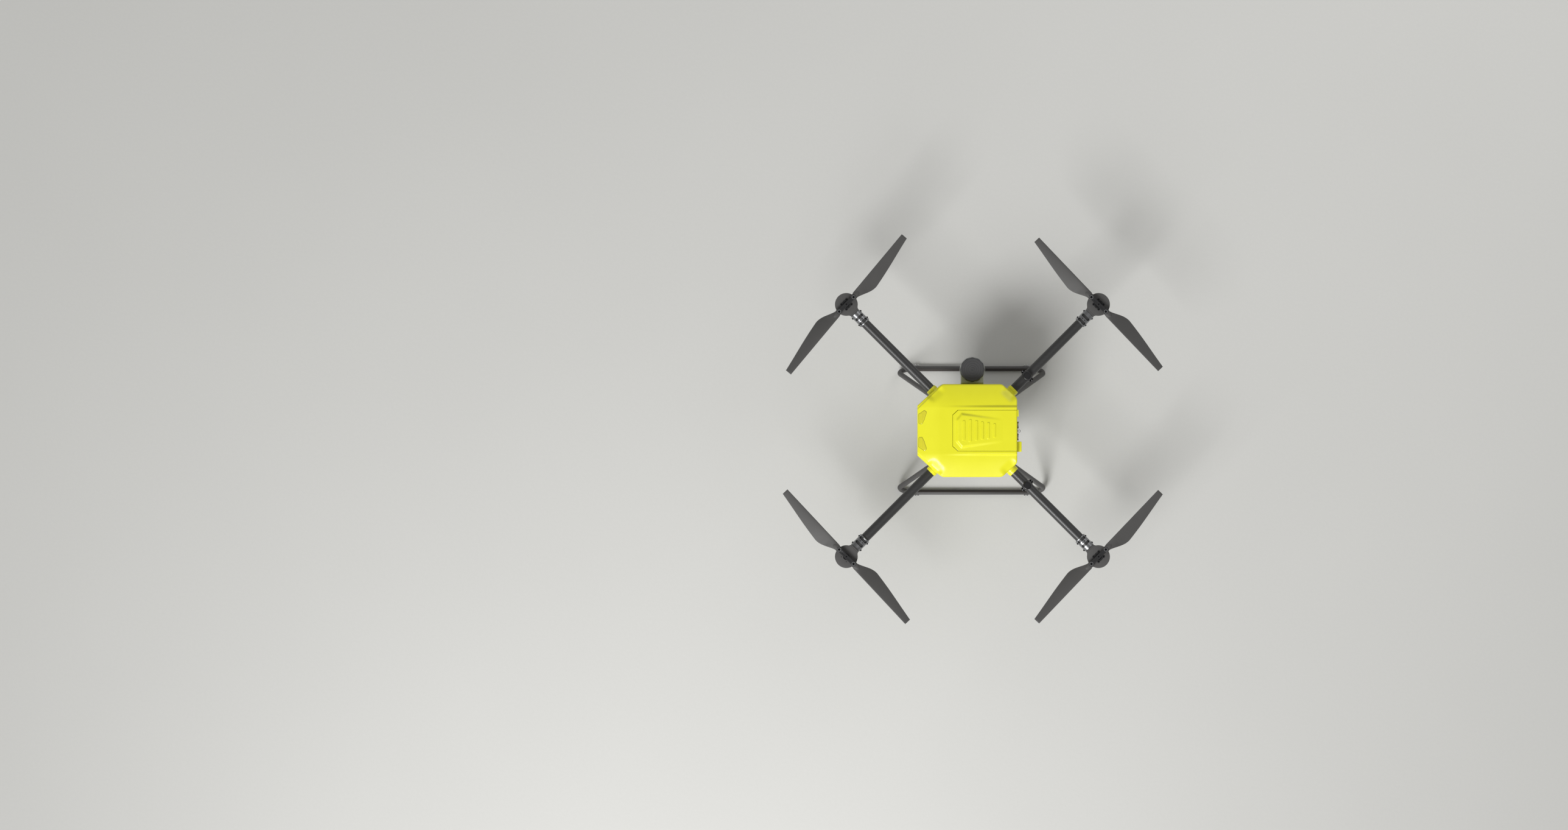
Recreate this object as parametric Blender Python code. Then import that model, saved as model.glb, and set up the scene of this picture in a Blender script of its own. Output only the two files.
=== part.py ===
"""Agricultural spray drone: four fixed arms, folding propellers, a slide-out tank and a skid undercarriage.

Metres, +Z up, ground at Z = 0, origin midway between the four motors.
-X is the nose and +Y the filler side.
"""

import math

import bmesh
import bpy
from mathutils import Matrix, Vector

GAP = 0.0003  # between pieces that touch
RUNNING = 0.00035  # radial clearance of a piece in its bore
SIDES = 16  # facets of every arm-sized cylinder, so that nested ones keep an even gap

# Arms
ARM_HEIGHT = 0.398
MOTOR_REACH = 0.7594
ARM_INNER_REACH = 0.100
ARM_RADIUS = 0.020
ARM_WALL = 0.002
ARMS = {"front_right": 135, "front_left": 225, "rear_right": 45, "rear_left": 315}

# Motor pods, measured inward from the motor axis
POD_RADIUS = 0.0485
POD_NECK = 0.0215
POD_SEAM = 0.053
POD_WALL = 0.003
POD_BELOW = 0.034
POD_ABOVE = 0.032
COVER_THICK = 0.004
COVER_HOLE = 0.014
SPIGOT_LENGTH = 0.032
CLAMP_LENGTH = 0.0597
TUBE_STOP = 0.003  # from the pod's seam to the end of the arm tube
CLAMP_WALL = 0.0035
CLAMP_RADIUS = ARM_RADIUS + CLAMP_WALL
FLANGE_RISE = 0.002
FLANGE_RADIUS = CLAMP_RADIUS + FLANGE_RISE
FLANGE_LENGTH = 0.0045
SLOT_PLACES = (0.0775, 0.1015)
SLOT_WIDTH = 0.0115
SLOT_SPAN = 0.039
CLAMP_BOLT_RADIUS = 0.004
RETAINER_LOBE_CIRCLE = 0.021
RETAINER_LOBE = 0.0055
RETAINER_THICK = 0.003
RETAINER_SCREW = 0.0017
BARE_COVER = "front_left"  # this cover shows its screw holes

# Motors and propellers, heights measured from the arm axis
STATOR_RADIUS = 0.034
STATOR_LOW = -0.0307
STATOR_HIGH = 0.006
SHAFT_RADIUS = 0.005
BELL_RADIUS = 0.0385
BELL_WALL = 0.003
BELL_LOW = -0.020
BELL_HIGH = 0.015
BOSS_RADIUS = 0.010
BOSS_HIGH = 0.040
HUB_PIVOT = 0.0433
HUB_END_RADIUS = 0.0107
HUB_WIDTH = 0.017
HUB_PLATE = 0.0026
HUB_BLOCK = 0.027
HUB_BLOCK_SHARE = 0.42  # the block's half width as a share of the bar's width
HUB_SLOT_PLACE = 0.017
HUB_SLOT_LENGTH = 0.020
HUB_SLOT_WIDTH = 0.0056
PIVOT_BOLT = 0.003
BOLT_HEAD = 0.0052
BLADE_THICK = 0.0076
BLADE_ROOT_RADIUS = 0.013
BLADE_FLAT = 0.0115
BLADE_LEAD_EDGE = 0.0144
BLADE_TIP = 0.3377
BLADE_TIP_WIDTH = 0.0279
BLADE_CHORD = 0.0607
BLADE_CHORD_PLACE = 0.097
BLADE_TIP_THICK = 0.0018
BLADE_PITCH = 0.254  # advance in one turn
BLADE_MOST_PITCH = 17.0
# rotor: its bar's direction, the blades' lead on the bar, and +1 where it turns anticlockwise from above
ROTORS = {
    "front_right": (45, 5.1, 1),
    "front_left": (-45, 1.9, -1),
    "rear_right": (-45, 1.3, -1),
    "rear_left": (45, 1.3, 1),
}

# Spray nozzles under the pods
NOZZLE_DROP = 0.088
NOZZLE_RADIUS = 0.012

# Body
NOSE = 0.235
TAIL = 0.190
BODY_HALF = 0.198
NOSE_HALF = 0.106
NOSE_CORNER = (0.187, 0.150)
SIDE_FRONT = 0.131
SIDE_REAR = 0.126
TAIL_HALF = 0.139
CORNER_ROUND = 0.028
NOSE_ROUND = 0.006
SHELL_WALL = 0.003
BODY_LOW = 0.352
SPLIT = 0.428
BODY_TOP = 0.500
LOWER_INSET = 0.020
TRAY_INSET = 0.0005
BAND_HALF = 0.098
BAND_SLOPE = 0.010
BAND_STEP = 0.008
SIDE_DROP = 0.022
NOSE_SLOPE = 0.100
NOSE_DROP = 0.024
COLLAR_WALL = 0.00325
COLLAR_RADIUS = ARM_RADIUS + COLLAR_WALL
COLLAR_OUT = 0.252
COLLAR_IN = 0.195
TAIL_BLOCK = ((0.189, -0.0905, 0.440), (0.209, -0.047, 0.476))

# Top hatch
HATCH_FRONT = -0.0855
HATCH_HALF = 0.088
HATCH_CHAMFER = (0.023, 0.021)
HATCH_GAP = 0.0006
HATCH_LIP = 0.484
BUMP_FRONT = -0.073
BUMP_REAR = 0.132
BUMP_FRONT_HALF = 0.077
BUMP_REAR_HALF = 0.052
BUMP_CORNER = 0.030
BUMP_FLARE = 0.012
BUMP_RISE = 0.009
RIB_RISE = 0.0025
RIB_WIDTH = 0.013
RIBS = ((-0.037, 0.088), (-0.010, 0.098), (0.016, 0.088), (0.041, 0.078), (0.067, 0.071), (0.093, 0.062))
HATCH_TAB = ((0.188, 0.059, 0.486), (0.196, 0.088, 0.494))

# Hatch latch on the tail
LATCH_HALF = 0.040
LATCH_LOW = 0.464
LATCH_HIGH = 0.480
LATCH_DEPTH = 0.0057
LATCH_BACK = 0.0015
LATCH_NOTCH = 0.0105
LATCH_CENTRE = -0.002
RING_RADIUS = 0.0056
RING_WIRE = 0.0013

# Centre frame
FRAME_HALF = 0.118
FRAME_PLATE = 0.004
FRAME_BLOCK_RADIUS = 0.130
FRAME_BLOCK_LENGTH = 0.050
FRAME_BLOCK_WIDTH = 0.052
FRAME_BITE = 0.002
FRAME_RISE = ARM_RADIUS + FRAME_BITE
FRAME_CORNER = 0.030
STANDOFF_RADIUS = 0.006
STANDOFF_PLACE = 0.085
BATTERY = (0.190, 0.075, 0.065)
CONTROLLER = (0.044, 0.044, 0.018)
CONTROLLER_PLACE = -0.1235

# Tank, which hangs from two rails under the body
TANK_HALF = 0.122
TANK_LOW = 0.185
TANK_HIGH = 0.334
TANK_FRONT = -0.128
TANK_BACK = 0.188
TANK_WALL = 0.003
TANK_ROUND = 0.020
TANK_FLANGE = 0.008
FLANGE_THICK = 0.004
SPOUT_HALF = 0.049
SPOUT_LOW = 0.230
SPOUT_HIGH = 0.388
SPOUT_CLEAR = 0.004
FILLER_REACH = 0.061
FILLER_PLACE = BODY_HALF + FILLER_REACH
FILLER_COLLAR = 0.054
FILLER_COLLAR_THICK = 0.005
NECK_RADIUS = 0.042
NECK_WALL = 0.005
NECK_RISE = 0.014
RAIL_THICK = 0.003
RAIL_LIP = 0.0045
RAIL_CLEAR = 0.001
RAIL_HALF_LENGTH = 0.095

# Filler cap
CAP_RADIUS = 0.0515
CAP_LOBES = 12
CAP_LOBE_DEPTH = 0.0012
CAP_HEIGHT = 0.030
CAP_LIFT_GAP = 0.0012
SEAL_THICK = 0.0035

# Pump, between the tank and the body's left side
PUMP_HALF = 0.036
PUMP_FRONT = -0.174
PUMP_LOW = 0.285
PUMP_MOTOR_RADIUS = 0.017

# Undercarriage
SKID_RADIUS = 0.011
SKID_WALL = 0.002
SKID_SIDES = 16
SKID_PLACE = 0.264
SKID_HALF = 0.245
LEG_TOP = (0.140, 0.125)
LEG_ELBOW = (0.3205, 0.2525)
LEG_BEND = 0.026
LEG_STRAIGHT = 0.012
LEG_PLATE = 0.020
LEG_PLATE_THICK = 0.004
LEG_SPIGOT_LENGTH = 0.028
STUD_RADIUS = 0.003
STUD_LENGTH = 0.0075
STUD_PITCH = 0.011

# Positioning antennas on the two rear arms
ANTENNA_REACH = 0.330
ANTENNA_RADIUS = 0.018
ANTENNA_HEIGHT = 0.012
ANTENNA_CLAMP_LENGTH = 0.024
ANTENNA_CLAMP_WALL = 0.003
ANTENNA_EAR = 0.031

COLOURS = {
    "yellow_shell": ((0.87, 0.86, 0.05), 0.3, 0.0),
    "carbon": ((0.03, 0.03, 0.032), 0.35, 0.0),
    "grey_plastic": ((0.07, 0.07, 0.07), 0.6, 0.0),
    "black_plastic": ((0.02, 0.02, 0.02), 0.5, 0.0),
    "blade": ((0.06, 0.06, 0.06), 0.65, 0.0),
    "aluminium": ((0.4, 0.4, 0.4), 0.35, 1.0),
    "motor_metal": ((0.12, 0.12, 0.12), 0.4, 1.0),
    "copper": ((0.5, 0.22, 0.1), 0.4, 1.0),
    "steel": ((0.6, 0.6, 0.6), 0.25, 1.0),
    "tank": ((0.62, 0.64, 0.62), 0.45, 0.0),
    "rubber": ((0.03, 0.03, 0.03), 0.8, 0.0),
    "battery": ((0.04, 0.05, 0.06), 0.5, 0.0),
}


def clear_scene():
    for obj in list(bpy.data.objects):
        bpy.data.objects.remove(obj, do_unlink=True)


def material(finish):
    """One material for each node, with the finish's colour, roughness and metallic value."""
    colour, roughness, metallic = COLOURS[finish]
    made = bpy.data.materials.new(finish)
    made.use_nodes = True
    shader = made.node_tree.nodes["Principled BSDF"]
    shader.inputs["Base Color"].default_value = (*colour, 1.0)
    shader.inputs["Roughness"].default_value = roughness
    shader.inputs["Metallic"].default_value = metallic
    return made


def link(name, mesh, finish, parent=None, location=(0, 0, 0), turn=0.0):
    """Places a copy of the mesh as a node, turned about Z by so many degrees."""
    own = mesh.copy()
    own.name = name
    own.materials.clear()
    own.materials.append(material(finish))
    own.shade_smooth()
    own.set_sharp_from_angle(angle=math.radians(32))
    obj = bpy.data.objects.new(name, own)
    bpy.context.collection.objects.link(obj)
    obj.parent = parent
    obj.location = location
    obj.rotation_euler = (0, 0, math.radians(turn))
    return obj


def empty(name, location, turn, parent=None):
    obj = bpy.data.objects.new(name, None)
    bpy.context.collection.objects.link(obj)
    obj.parent = parent
    obj.location = location
    obj.rotation_euler = (0, 0, math.radians(turn))
    return obj


def mesh_from(bm, name="shape"):
    bmesh.ops.recalc_face_normals(bm, faces=bm.faces)
    mesh = bpy.data.meshes.new(name)
    bm.to_mesh(mesh)
    bm.free()
    return mesh


def box(low, high):
    bm = bmesh.new()
    bmesh.ops.create_cube(bm, size=1.0)
    low, high = Vector(low), Vector(high)
    size = high - low
    bmesh.ops.transform(bm, matrix=Matrix.Diagonal((*size, 1.0)), verts=bm.verts)
    bmesh.ops.translate(bm, vec=(low + high) / 2, verts=bm.verts)
    return mesh_from(bm)


def loft(rings):
    """A closed solid through rings of equal counts of points, capped at both ends."""
    bm = bmesh.new()
    made = [[bm.verts.new(point) for point in ring] for ring in rings]
    for below, above in zip(made, made[1:]):
        count = len(below)
        for i in range(count):
            j = (i + 1) % count
            bm.faces.new((below[i], below[j], above[j], above[i]))
    bm.faces.new(list(reversed(made[0])))
    bm.faces.new(made[-1])
    return mesh_from(bm)


def prism(outline, low, high):
    return loft([[(x, y, low) for x, y in outline], [(x, y, high) for x, y in outline]])


def circle(radius, sides=SIDES, centre=(0.0, 0.0)):
    """Points round a circle, with a flat, not a corner, at each quarter."""
    step = 2 * math.pi / sides
    angles = [(i + 0.5) * step for i in range(sides)]
    return [(centre[0] + radius * math.cos(a), centre[1] + radius * math.sin(a)) for a in angles]


def disc(radius, low, high, sides=SIDES, centre=(0.0, 0.0)):
    return prism(circle(radius, sides, centre), low, high)


def turned(profile, sides=SIDES):
    """Spins a profile of (radius, height), which runs from axis to axis or back to its start."""
    bm = bmesh.new()
    verts = [bm.verts.new((radius, 0, height)) for radius, height in profile]
    edges = [bm.edges.new(pair) for pair in zip(verts, verts[1:])]
    if profile[0][0] > 0:
        edges.append(bm.edges.new((verts[-1], verts[0])))
    half_step = math.pi / sides
    bmesh.ops.rotate(bm, verts=verts, cent=(0, 0, 0), matrix=Matrix.Rotation(half_step, 3, "Z"))
    bmesh.ops.spin(
        bm, geom=verts + edges, cent=(0, 0, 0), axis=(0, 0, 1), angle=2 * math.pi, steps=sides
    )
    bmesh.ops.remove_doubles(bm, verts=bm.verts, dist=1e-6)
    return mesh_from(bm)


def moved(mesh, matrix):
    own = mesh.copy()
    own.transform(matrix)
    if matrix.determinant() < 0:
        own.flip_normals()
    return own


def shifted(mesh, offset):
    return moved(mesh, Matrix.Translation(offset))


def spun(mesh, degrees):
    return moved(mesh, Matrix.Rotation(math.radians(degrees), 4, "Z"))


def along_x(mesh):
    """Lays a shape that stands on Z along +X."""
    return moved(mesh, Matrix.Rotation(math.radians(90), 4, "Y"))


def along_y(mesh):
    """Lays a shape that stands on Z along +Y."""
    return moved(mesh, Matrix.Rotation(math.radians(-90), 4, "X"))


def combined(base, steps):
    """The base mesh after a run of Boolean steps, each an operation and its tool mesh."""
    work = bpy.data.objects.new("work", base)
    bpy.context.collection.objects.link(work)
    tools = []
    for operation, tool in steps:
        cutter = bpy.data.objects.new("cutter", tool)
        bpy.context.collection.objects.link(cutter)
        modifier = work.modifiers.new(operation.lower(), "BOOLEAN")
        modifier.operation = operation
        modifier.solver = "EXACT"
        modifier.object = cutter
        tools.append(cutter)
    graph = bpy.context.evaluated_depsgraph_get()
    result = bpy.data.meshes.new_from_object(work.evaluated_get(graph))
    for obj in (work, *tools):
        bpy.data.objects.remove(obj, do_unlink=True)
    return result


def rounded(corners, radii, steps=3):
    """An outline with each corner turned into an arc of its radius; a radius of 0 keeps it sharp."""
    points = []
    count = len(corners)
    for i, (corner, radius) in enumerate(zip(corners, radii)):
        here = Vector(corner)
        before = (Vector(corners[i - 1]) - here).normalized()
        after = (Vector(corners[(i + 1) % count]) - here).normalized()
        if radius == 0:
            points.append(tuple(here))
            continue
        half = before.angle(after) / 2
        reach = radius / math.tan(half)
        centre = here + (before + after).normalized() * (radius / math.sin(half))
        start = here + before * reach - centre
        sweep = start.angle_signed(here + after * reach - centre)
        for k in range(steps + 1):
            arm = Matrix.Rotation(-sweep * k / steps, 2) @ start
            points.append(tuple(centre + arm))
    return points


def inset(outline, amount):
    """The outline of a convex shape moved inward, with each corner where its two moved sides meet."""
    points = []
    count = len(outline)
    for i in range(count):
        before = Vector(outline[i - 1])
        here = Vector(outline[i])
        after = Vector(outline[(i + 1) % count])
        first = (here - before).normalized()
        second = (after - here).normalized()
        normal_a = Vector((-first.y, first.x))
        normal_b = Vector((-second.y, second.x))
        bisector = (normal_a + normal_b).normalized()
        points.append(tuple(here + bisector * (amount / max(bisector.dot(normal_a), 0.3))))
    return points


def mirrored_outline(half):
    """A closed outline from its +Y half, listed from the nose to the tail; it comes out anticlockwise."""
    return [(x, -y) for x, y in half] + [(x, y) for x, y in reversed(half)]


def slab(stations_x, stations_y, top, bottom):
    """A closed solid between two height functions over a grid."""
    bm = bmesh.new()
    upper = [[bm.verts.new((x, y, top(x, y))) for y in stations_y] for x in stations_x]
    lower = [[bm.verts.new((x, y, bottom(x, y))) for y in stations_y] for x in stations_x]
    last_x = len(stations_x) - 1
    last_y = len(stations_y) - 1
    for i in range(last_x):
        for j in range(last_y):
            bm.faces.new((upper[i][j], upper[i + 1][j], upper[i + 1][j + 1], upper[i][j + 1]))
            bm.faces.new((lower[i][j], lower[i][j + 1], lower[i + 1][j + 1], lower[i + 1][j]))
    for i in range(last_x):
        bm.faces.new((upper[i][0], lower[i][0], lower[i + 1][0], upper[i + 1][0]))
        bm.faces.new((upper[i][last_y], upper[i + 1][last_y], lower[i + 1][last_y], lower[i][last_y]))
    for j in range(last_y):
        bm.faces.new((upper[0][j], upper[0][j + 1], lower[0][j + 1], lower[0][j]))
        bm.faces.new((upper[last_x][j], lower[last_x][j], lower[last_x][j + 1], upper[last_x][j + 1]))
    return mesh_from(bm)


# Arms


def arm_tube():
    length = MOTOR_REACH - POD_SEAM - TUBE_STOP - ARM_INNER_REACH
    outer = disc(ARM_RADIUS, 0, length)
    bore = disc(ARM_RADIUS - ARM_WALL, -0.01, length + 0.01)
    return shifted(along_x(combined(outer, [("DIFFERENCE", bore)])), (ARM_INNER_REACH, 0, 0))


def tube_clamp():
    """The sleeve that joins a pod to its arm tube, with two windows above and two below."""
    start = POD_SEAM + GAP
    end = start + CLAMP_LENGTH
    sleeve = disc(CLAMP_RADIUS, start, end)
    flange = disc(FLANGE_RADIUS, end - FLANGE_LENGTH, end)
    bore = disc(ARM_RADIUS + RUNNING, start - 0.01, end + 0.01)
    steps = [("UNION", along_x(flange))]
    for side in (-1, 1):
        head = disc(CLAMP_BOLT_RADIUS, 0, CLAMP_RADIUS + CLAMP_BOLT_RADIUS, 10)
        head = moved(head, Matrix.Rotation(math.radians(-90 * side), 4, "X"))
        steps.append(("UNION", shifted(head, (SLOT_PLACES[1], 0, 0))))
    steps.append(("DIFFERENCE", along_x(bore)))
    for place in SLOT_PLACES:
        half = SLOT_SPAN / 2
        corners = [
            (place - SLOT_WIDTH / 2, -half),
            (place + SLOT_WIDTH / 2, -half),
            (place + SLOT_WIDTH / 2, half),
            (place - SLOT_WIDTH / 2, half),
        ]
        window = rounded(corners, [SLOT_WIDTH / 2.1] * 4, 1)
        steps.append(("DIFFERENCE", prism(window, 0, 2 * CLAMP_RADIUS)))
        steps.append(("DIFFERENCE", prism(window, -2 * CLAMP_RADIUS, 0)))
    return combined(along_x(sleeve), steps)


def pod_outline(radius=POD_RADIUS, neck=POD_NECK, steps=3):
    """A disc that runs out through two hollow fillets into a neck, which ends at the seam."""
    fillet = (POD_SEAM**2 - radius**2 + neck**2) / (2 * (radius - neck))
    meet = math.atan2(neck + fillet, POD_SEAM)
    around = 16
    sweep = 2 * math.pi - 2 * meet
    angles = [meet + sweep * k / around for k in range(around + 1)]
    points = [(radius * math.cos(a), radius * math.sin(a)) for a in angles]
    turn = math.pi / 2 - meet
    for k in range(1, steps + 1):
        a = math.pi / 2 + turn * (1 - k / steps)
        points.append((POD_SEAM + fillet * math.cos(a), -neck - fillet + fillet * math.sin(a)))
    upper = [(x, -y) for x, y in reversed(points[-steps:])]
    return points + upper


def pod_body():
    top = POD_ABOVE - COVER_THICK - GAP
    cavity = disc(POD_RADIUS - POD_WALL, -POD_BELOW + POD_WALL, POD_ABOVE)
    bore = ARM_RADIUS - ARM_WALL - RUNNING
    spigot = disc(bore, POD_SEAM - POD_WALL, POD_SEAM + SPIGOT_LENGTH)
    steps = [("DIFFERENCE", cavity), ("UNION", along_x(spigot))]
    return combined(prism(pod_outline(), -POD_BELOW, top), steps)


def pod_cover(bare):
    """The flat top of a pod, with a four-lobed bearing plate, or with bare screw holes."""
    base = prism(pod_outline(), POD_ABOVE - COVER_THICK, POD_ABOVE)
    hole = disc(COVER_HOLE, POD_ABOVE - 0.01, POD_ABOVE + 0.01)
    lobe = Vector((RETAINER_LOBE_CIRCLE, 0))
    places = [Matrix.Rotation(math.radians(45 + 90 * k), 2) @ lobe for k in range(4)]
    if bare:
        steps = [("DIFFERENCE", hole)]
        for place in places:
            screw = disc(RETAINER_SCREW, POD_ABOVE - 0.01, POD_ABOVE + 0.01, 6, tuple(place))
            steps.append(("DIFFERENCE", screw))
        return combined(base, steps)
    low = POD_ABOVE - COVER_THICK / 2
    high = POD_ABOVE + RETAINER_THICK
    plates = [disc(RETAINER_LOBE_CIRCLE - 0.0015, low, high)]
    plates += [disc(RETAINER_LOBE, low, high, 8, tuple(place)) for place in places]
    return combined(base, [("UNION", plate) for plate in plates] + [("DIFFERENCE", hole)])


def motor_stator():
    bore = SHAFT_RADIUS + RUNNING
    return turned(
        [
            (bore, STATOR_HIGH),
            (STATOR_RADIUS, STATOR_HIGH),
            (STATOR_RADIUS, BELL_LOW + 0.002),
            (STATOR_RADIUS - 0.012, BELL_LOW + 0.002),
            (STATOR_RADIUS - 0.012, STATOR_LOW),
            (bore, STATOR_LOW),
        ]
    )


def motor_rotor():
    inner = BELL_RADIUS - BELL_WALL
    return turned(
        [
            (0, BOSS_HIGH),
            (BOSS_RADIUS, BOSS_HIGH),
            (BOSS_RADIUS, BELL_HIGH),
            (BELL_RADIUS, BELL_HIGH),
            (BELL_RADIUS, BELL_LOW),
            (inner, BELL_LOW),
            (inner, BELL_HIGH - BELL_WALL),
            (SHAFT_RADIUS, BELL_HIGH - BELL_WALL),
            (SHAFT_RADIUS, STATOR_LOW + 0.002),
            (0, STATOR_LOW + 0.002),
        ]
    )


def prop_hub():
    """Two bar plates on a centre block, with the blades' pivot bolts across the gap between them."""
    low = BOSS_HIGH + GAP
    root_low = low + HUB_PLATE + GAP
    root_high = root_low + BLADE_THICK
    high = root_high + GAP + HUB_PLATE
    steps = []
    for bottom, top in ((low, low + HUB_PLATE), (high - HUB_PLATE, high)):
        half = HUB_WIDTH / 2
        steps.append(("UNION", box((-HUB_PIVOT, -half, bottom), (HUB_PIVOT, half, top))))
        for side in (-1, 1):
            steps.append(("UNION", disc(HUB_END_RADIUS, bottom, top, 12, (side * HUB_PIVOT, 0))))
    for side in (-1, 1):
        place = (side * HUB_PIVOT, 0)
        steps.append(("UNION", disc(PIVOT_BOLT, low + HUB_PLATE / 2, high - HUB_PLATE / 2, 8, place)))
        steps.append(("UNION", disc(BOLT_HEAD, high - HUB_PLATE / 2, high + 0.0012, 8, place)))
        centre = side * HUB_SLOT_PLACE
        reach = HUB_SLOT_LENGTH / 2
        width = HUB_SLOT_WIDTH / 2
        corners = [
            (centre - reach, -width),
            (centre + reach, -width),
            (centre + reach, width),
            (centre - reach, width),
        ]
        slot = rounded(corners, [width * 0.95] * 4, 1)
        steps.append(("DIFFERENCE", prism(slot, high - HUB_PLATE / 2, high + 0.01)))
    side = HUB_WIDTH * HUB_BLOCK_SHARE
    block = box((-HUB_BLOCK, -side, low + HUB_PLATE / 2), (HUB_BLOCK, side, high - HUB_PLATE / 2))
    return combined(block, steps)


def blade_height():
    """Height of the blades' middle above the arm axis."""
    return BOSS_HIGH + GAP + HUB_PLATE + GAP + BLADE_THICK / 2


def trailing_edge(x):
    """How far the trailing edge lies behind the pivot-to-tip line, at a distance from the pivot."""
    widest = BLADE_CHORD - BLADE_LEAD_EDGE
    tip = BLADE_TIP_WIDTH - BLADE_LEAD_EDGE
    if x < BLADE_CHORD_PLACE:
        t = (x - BLADE_FLAT) / (BLADE_CHORD_PLACE - BLADE_FLAT)
        root = BLADE_ROOT_RADIUS
        return root + (widest - root) * (t + 0.28 * math.sin(math.pi * t) * t)
    t = (x - BLADE_CHORD_PLACE) / (BLADE_TIP - BLADE_CHORD_PLACE)
    return widest + (tip - widest) * (t - 0.10 * math.sin(math.pi * t) * (1 - t))


def blade_section(x, hand):
    """An aerofoil section across the blade, pitched so that its leading edge is the higher."""
    lead = BLADE_LEAD_EDGE
    trail = -trailing_edge(x)
    chord = lead - trail
    along = (x - BLADE_FLAT) / (BLADE_TIP - BLADE_FLAT)
    thick = BLADE_THICK * 0.9 + (BLADE_TIP_THICK - BLADE_THICK * 0.9) * along**0.6
    grown = min(1.0, (x - BLADE_FLAT) / 0.045)
    pitch = math.atan(BLADE_PITCH / (2 * math.pi * (HUB_PIVOT + x)))
    pitch = min(pitch, math.radians(BLADE_MOST_PITCH)) * grown
    points = []
    for share, above in ((0.0, 0.0), (0.12, 0.62), (0.4, 1.0), (0.75, 0.62), (1.0, 0.12)):
        points.append((lead - share * chord, above * thick * 0.62))
    for share, below in ((1.0, -0.12), (0.6, -0.5), (0.12, -0.45)):
        points.append((lead - share * chord, below * thick * 0.62))
    rise = math.tan(pitch)
    return [(x, hand * y, z + y * rise) for y, z in points]


def blade(hand):
    """A folding blade with its pivot at the origin and its tip along +X; hand is +1 where +Y leads."""
    inner = [BLADE_FLAT, 0.024, 0.042, 0.068, 0.084]
    outer = [BLADE_CHORD_PLACE, 0.112, 0.135, 0.180, 0.240, 0.300, BLADE_TIP]
    wing = loft([blade_section(x, hand) for x in inner + outer])
    radius = BLADE_ROOT_RADIUS
    angles = [math.radians(a) for a in range(90, 271, 30)]
    back = [(radius * math.cos(a), radius * math.sin(a)) for a in angles]
    outline = back + [(BLADE_FLAT + 0.008, -radius), (BLADE_FLAT + 0.008, radius)]
    half = BLADE_THICK / 2
    root = prism(outline, -half, half)
    bore = disc(PIVOT_BOLT + RUNNING, -0.02, 0.02, 8)
    return combined(root, [("UNION", wing), ("DIFFERENCE", bore)])


def spray_nozzle():
    """A stem, a check-valve body and a bayonet cap, hung under a pod."""
    top = -POD_BELOW - GAP
    radius = NOZZLE_RADIUS
    return turned(
        [
            (0, top),
            (radius * 1.3, top),
            (radius * 1.3, top - 0.004),
            (radius * 0.5, top - 0.006),
            (radius * 0.5, top - 0.042),
            (radius, top - 0.046),
            (radius, top - 0.070),
            (radius * 0.85, top - 0.076),
            (radius * 0.35, top - NOZZLE_DROP),
            (0, top - NOZZLE_DROP),
        ],
        12,
    )


def build_arms():
    meshes = {
        "arm_tube": arm_tube(),
        "tube_clamp": tube_clamp(),
        "pod_body": pod_body(),
        "stator": motor_stator(),
        "rotor": motor_rotor(),
        "hub": prop_hub(),
        "nozzle": spray_nozzle(),
    }
    covers = {bare: pod_cover(bare) for bare in (False, True)}
    blades = {hand: blade(hand) for hand in (1, -1)}
    for corner, azimuth in ARMS.items():
        arm = empty(f"{corner}_arm_frame", (0, 0, ARM_HEIGHT), azimuth)
        link(f"{corner}_arm_tube", meshes["arm_tube"], "carbon", arm)
        pod = empty(f"{corner}_pod_frame", (MOTOR_REACH, 0, 0), 180, arm)
        link(f"{corner}_tube_clamp", meshes["tube_clamp"], "aluminium", pod)
        link(f"{corner}_pod_body", meshes["pod_body"], "grey_plastic", pod)
        link(f"{corner}_pod_cover", covers[corner == BARE_COVER], "grey_plastic", pod)
        link(f"{corner}_motor_stator", meshes["stator"], "copper", pod)
        link(f"{corner}_spray_nozzle", meshes["nozzle"], "black_plastic", pod)
        bar, lead, hand = ROTORS[corner]
        bearing = math.radians(azimuth)
        place = (MOTOR_REACH * math.cos(bearing), MOTOR_REACH * math.sin(bearing), ARM_HEIGHT)
        rotor = empty(f"{corner}_rotor_frame", place, bar)
        link(f"{corner}_motor_rotor", meshes["rotor"], "motor_metal", rotor)
        link(f"{corner}_prop_hub", meshes["hub"], "black_plastic", rotor)
        for letter, side in (("a", 1), ("b", -1)):
            pivot = (side * HUB_PIVOT, 0, blade_height())
            turn = (0 if side > 0 else 180) + hand * lead
            link(f"{corner}_blade_{letter}", blades[hand], "blade", rotor, pivot, turn)


# Body


def body_outline(amount=0.0):
    """The body's plan, moved inward by the amount; its corners' arcs tighten as it moves in."""
    half = [
        (-NOSE, NOSE_HALF),
        (-NOSE_CORNER[0], NOSE_CORNER[1]),
        (-SIDE_FRONT, BODY_HALF),
        (SIDE_REAR, BODY_HALF),
        (TAIL, TAIL_HALF),
    ]
    rounds = [NOSE_ROUND, 0, CORNER_ROUND, CORNER_ROUND, CORNER_ROUND]
    radii = [max(radius - amount, radius * 0.3) for radius in rounds]
    return rounded(inset(mirrored_outline(half), amount), radii + radii[::-1], 3)


def eased(t):
    t = min(1.0, max(0.0, t))
    return t * t * (3 - 2 * t)


def body_top(x, y):
    """Height of the body's skin: a raised middle band with sloping flanks, falling towards the nose."""
    nose = min(1.0, max(0.0, (NOSE_SLOPE - (NOSE + x)) / NOSE_SLOPE))
    height = BODY_TOP - NOSE_DROP * nose**1.7
    out = abs(y) - BAND_HALF
    if out > 0:
        step = BAND_STEP * eased((x + 0.16) / 0.30)
        height -= step * eased(out / BAND_SLOPE)
        height -= SIDE_DROP * min(1.3, out / (BODY_HALF - BAND_HALF)) ** 1.5
    return height


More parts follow.
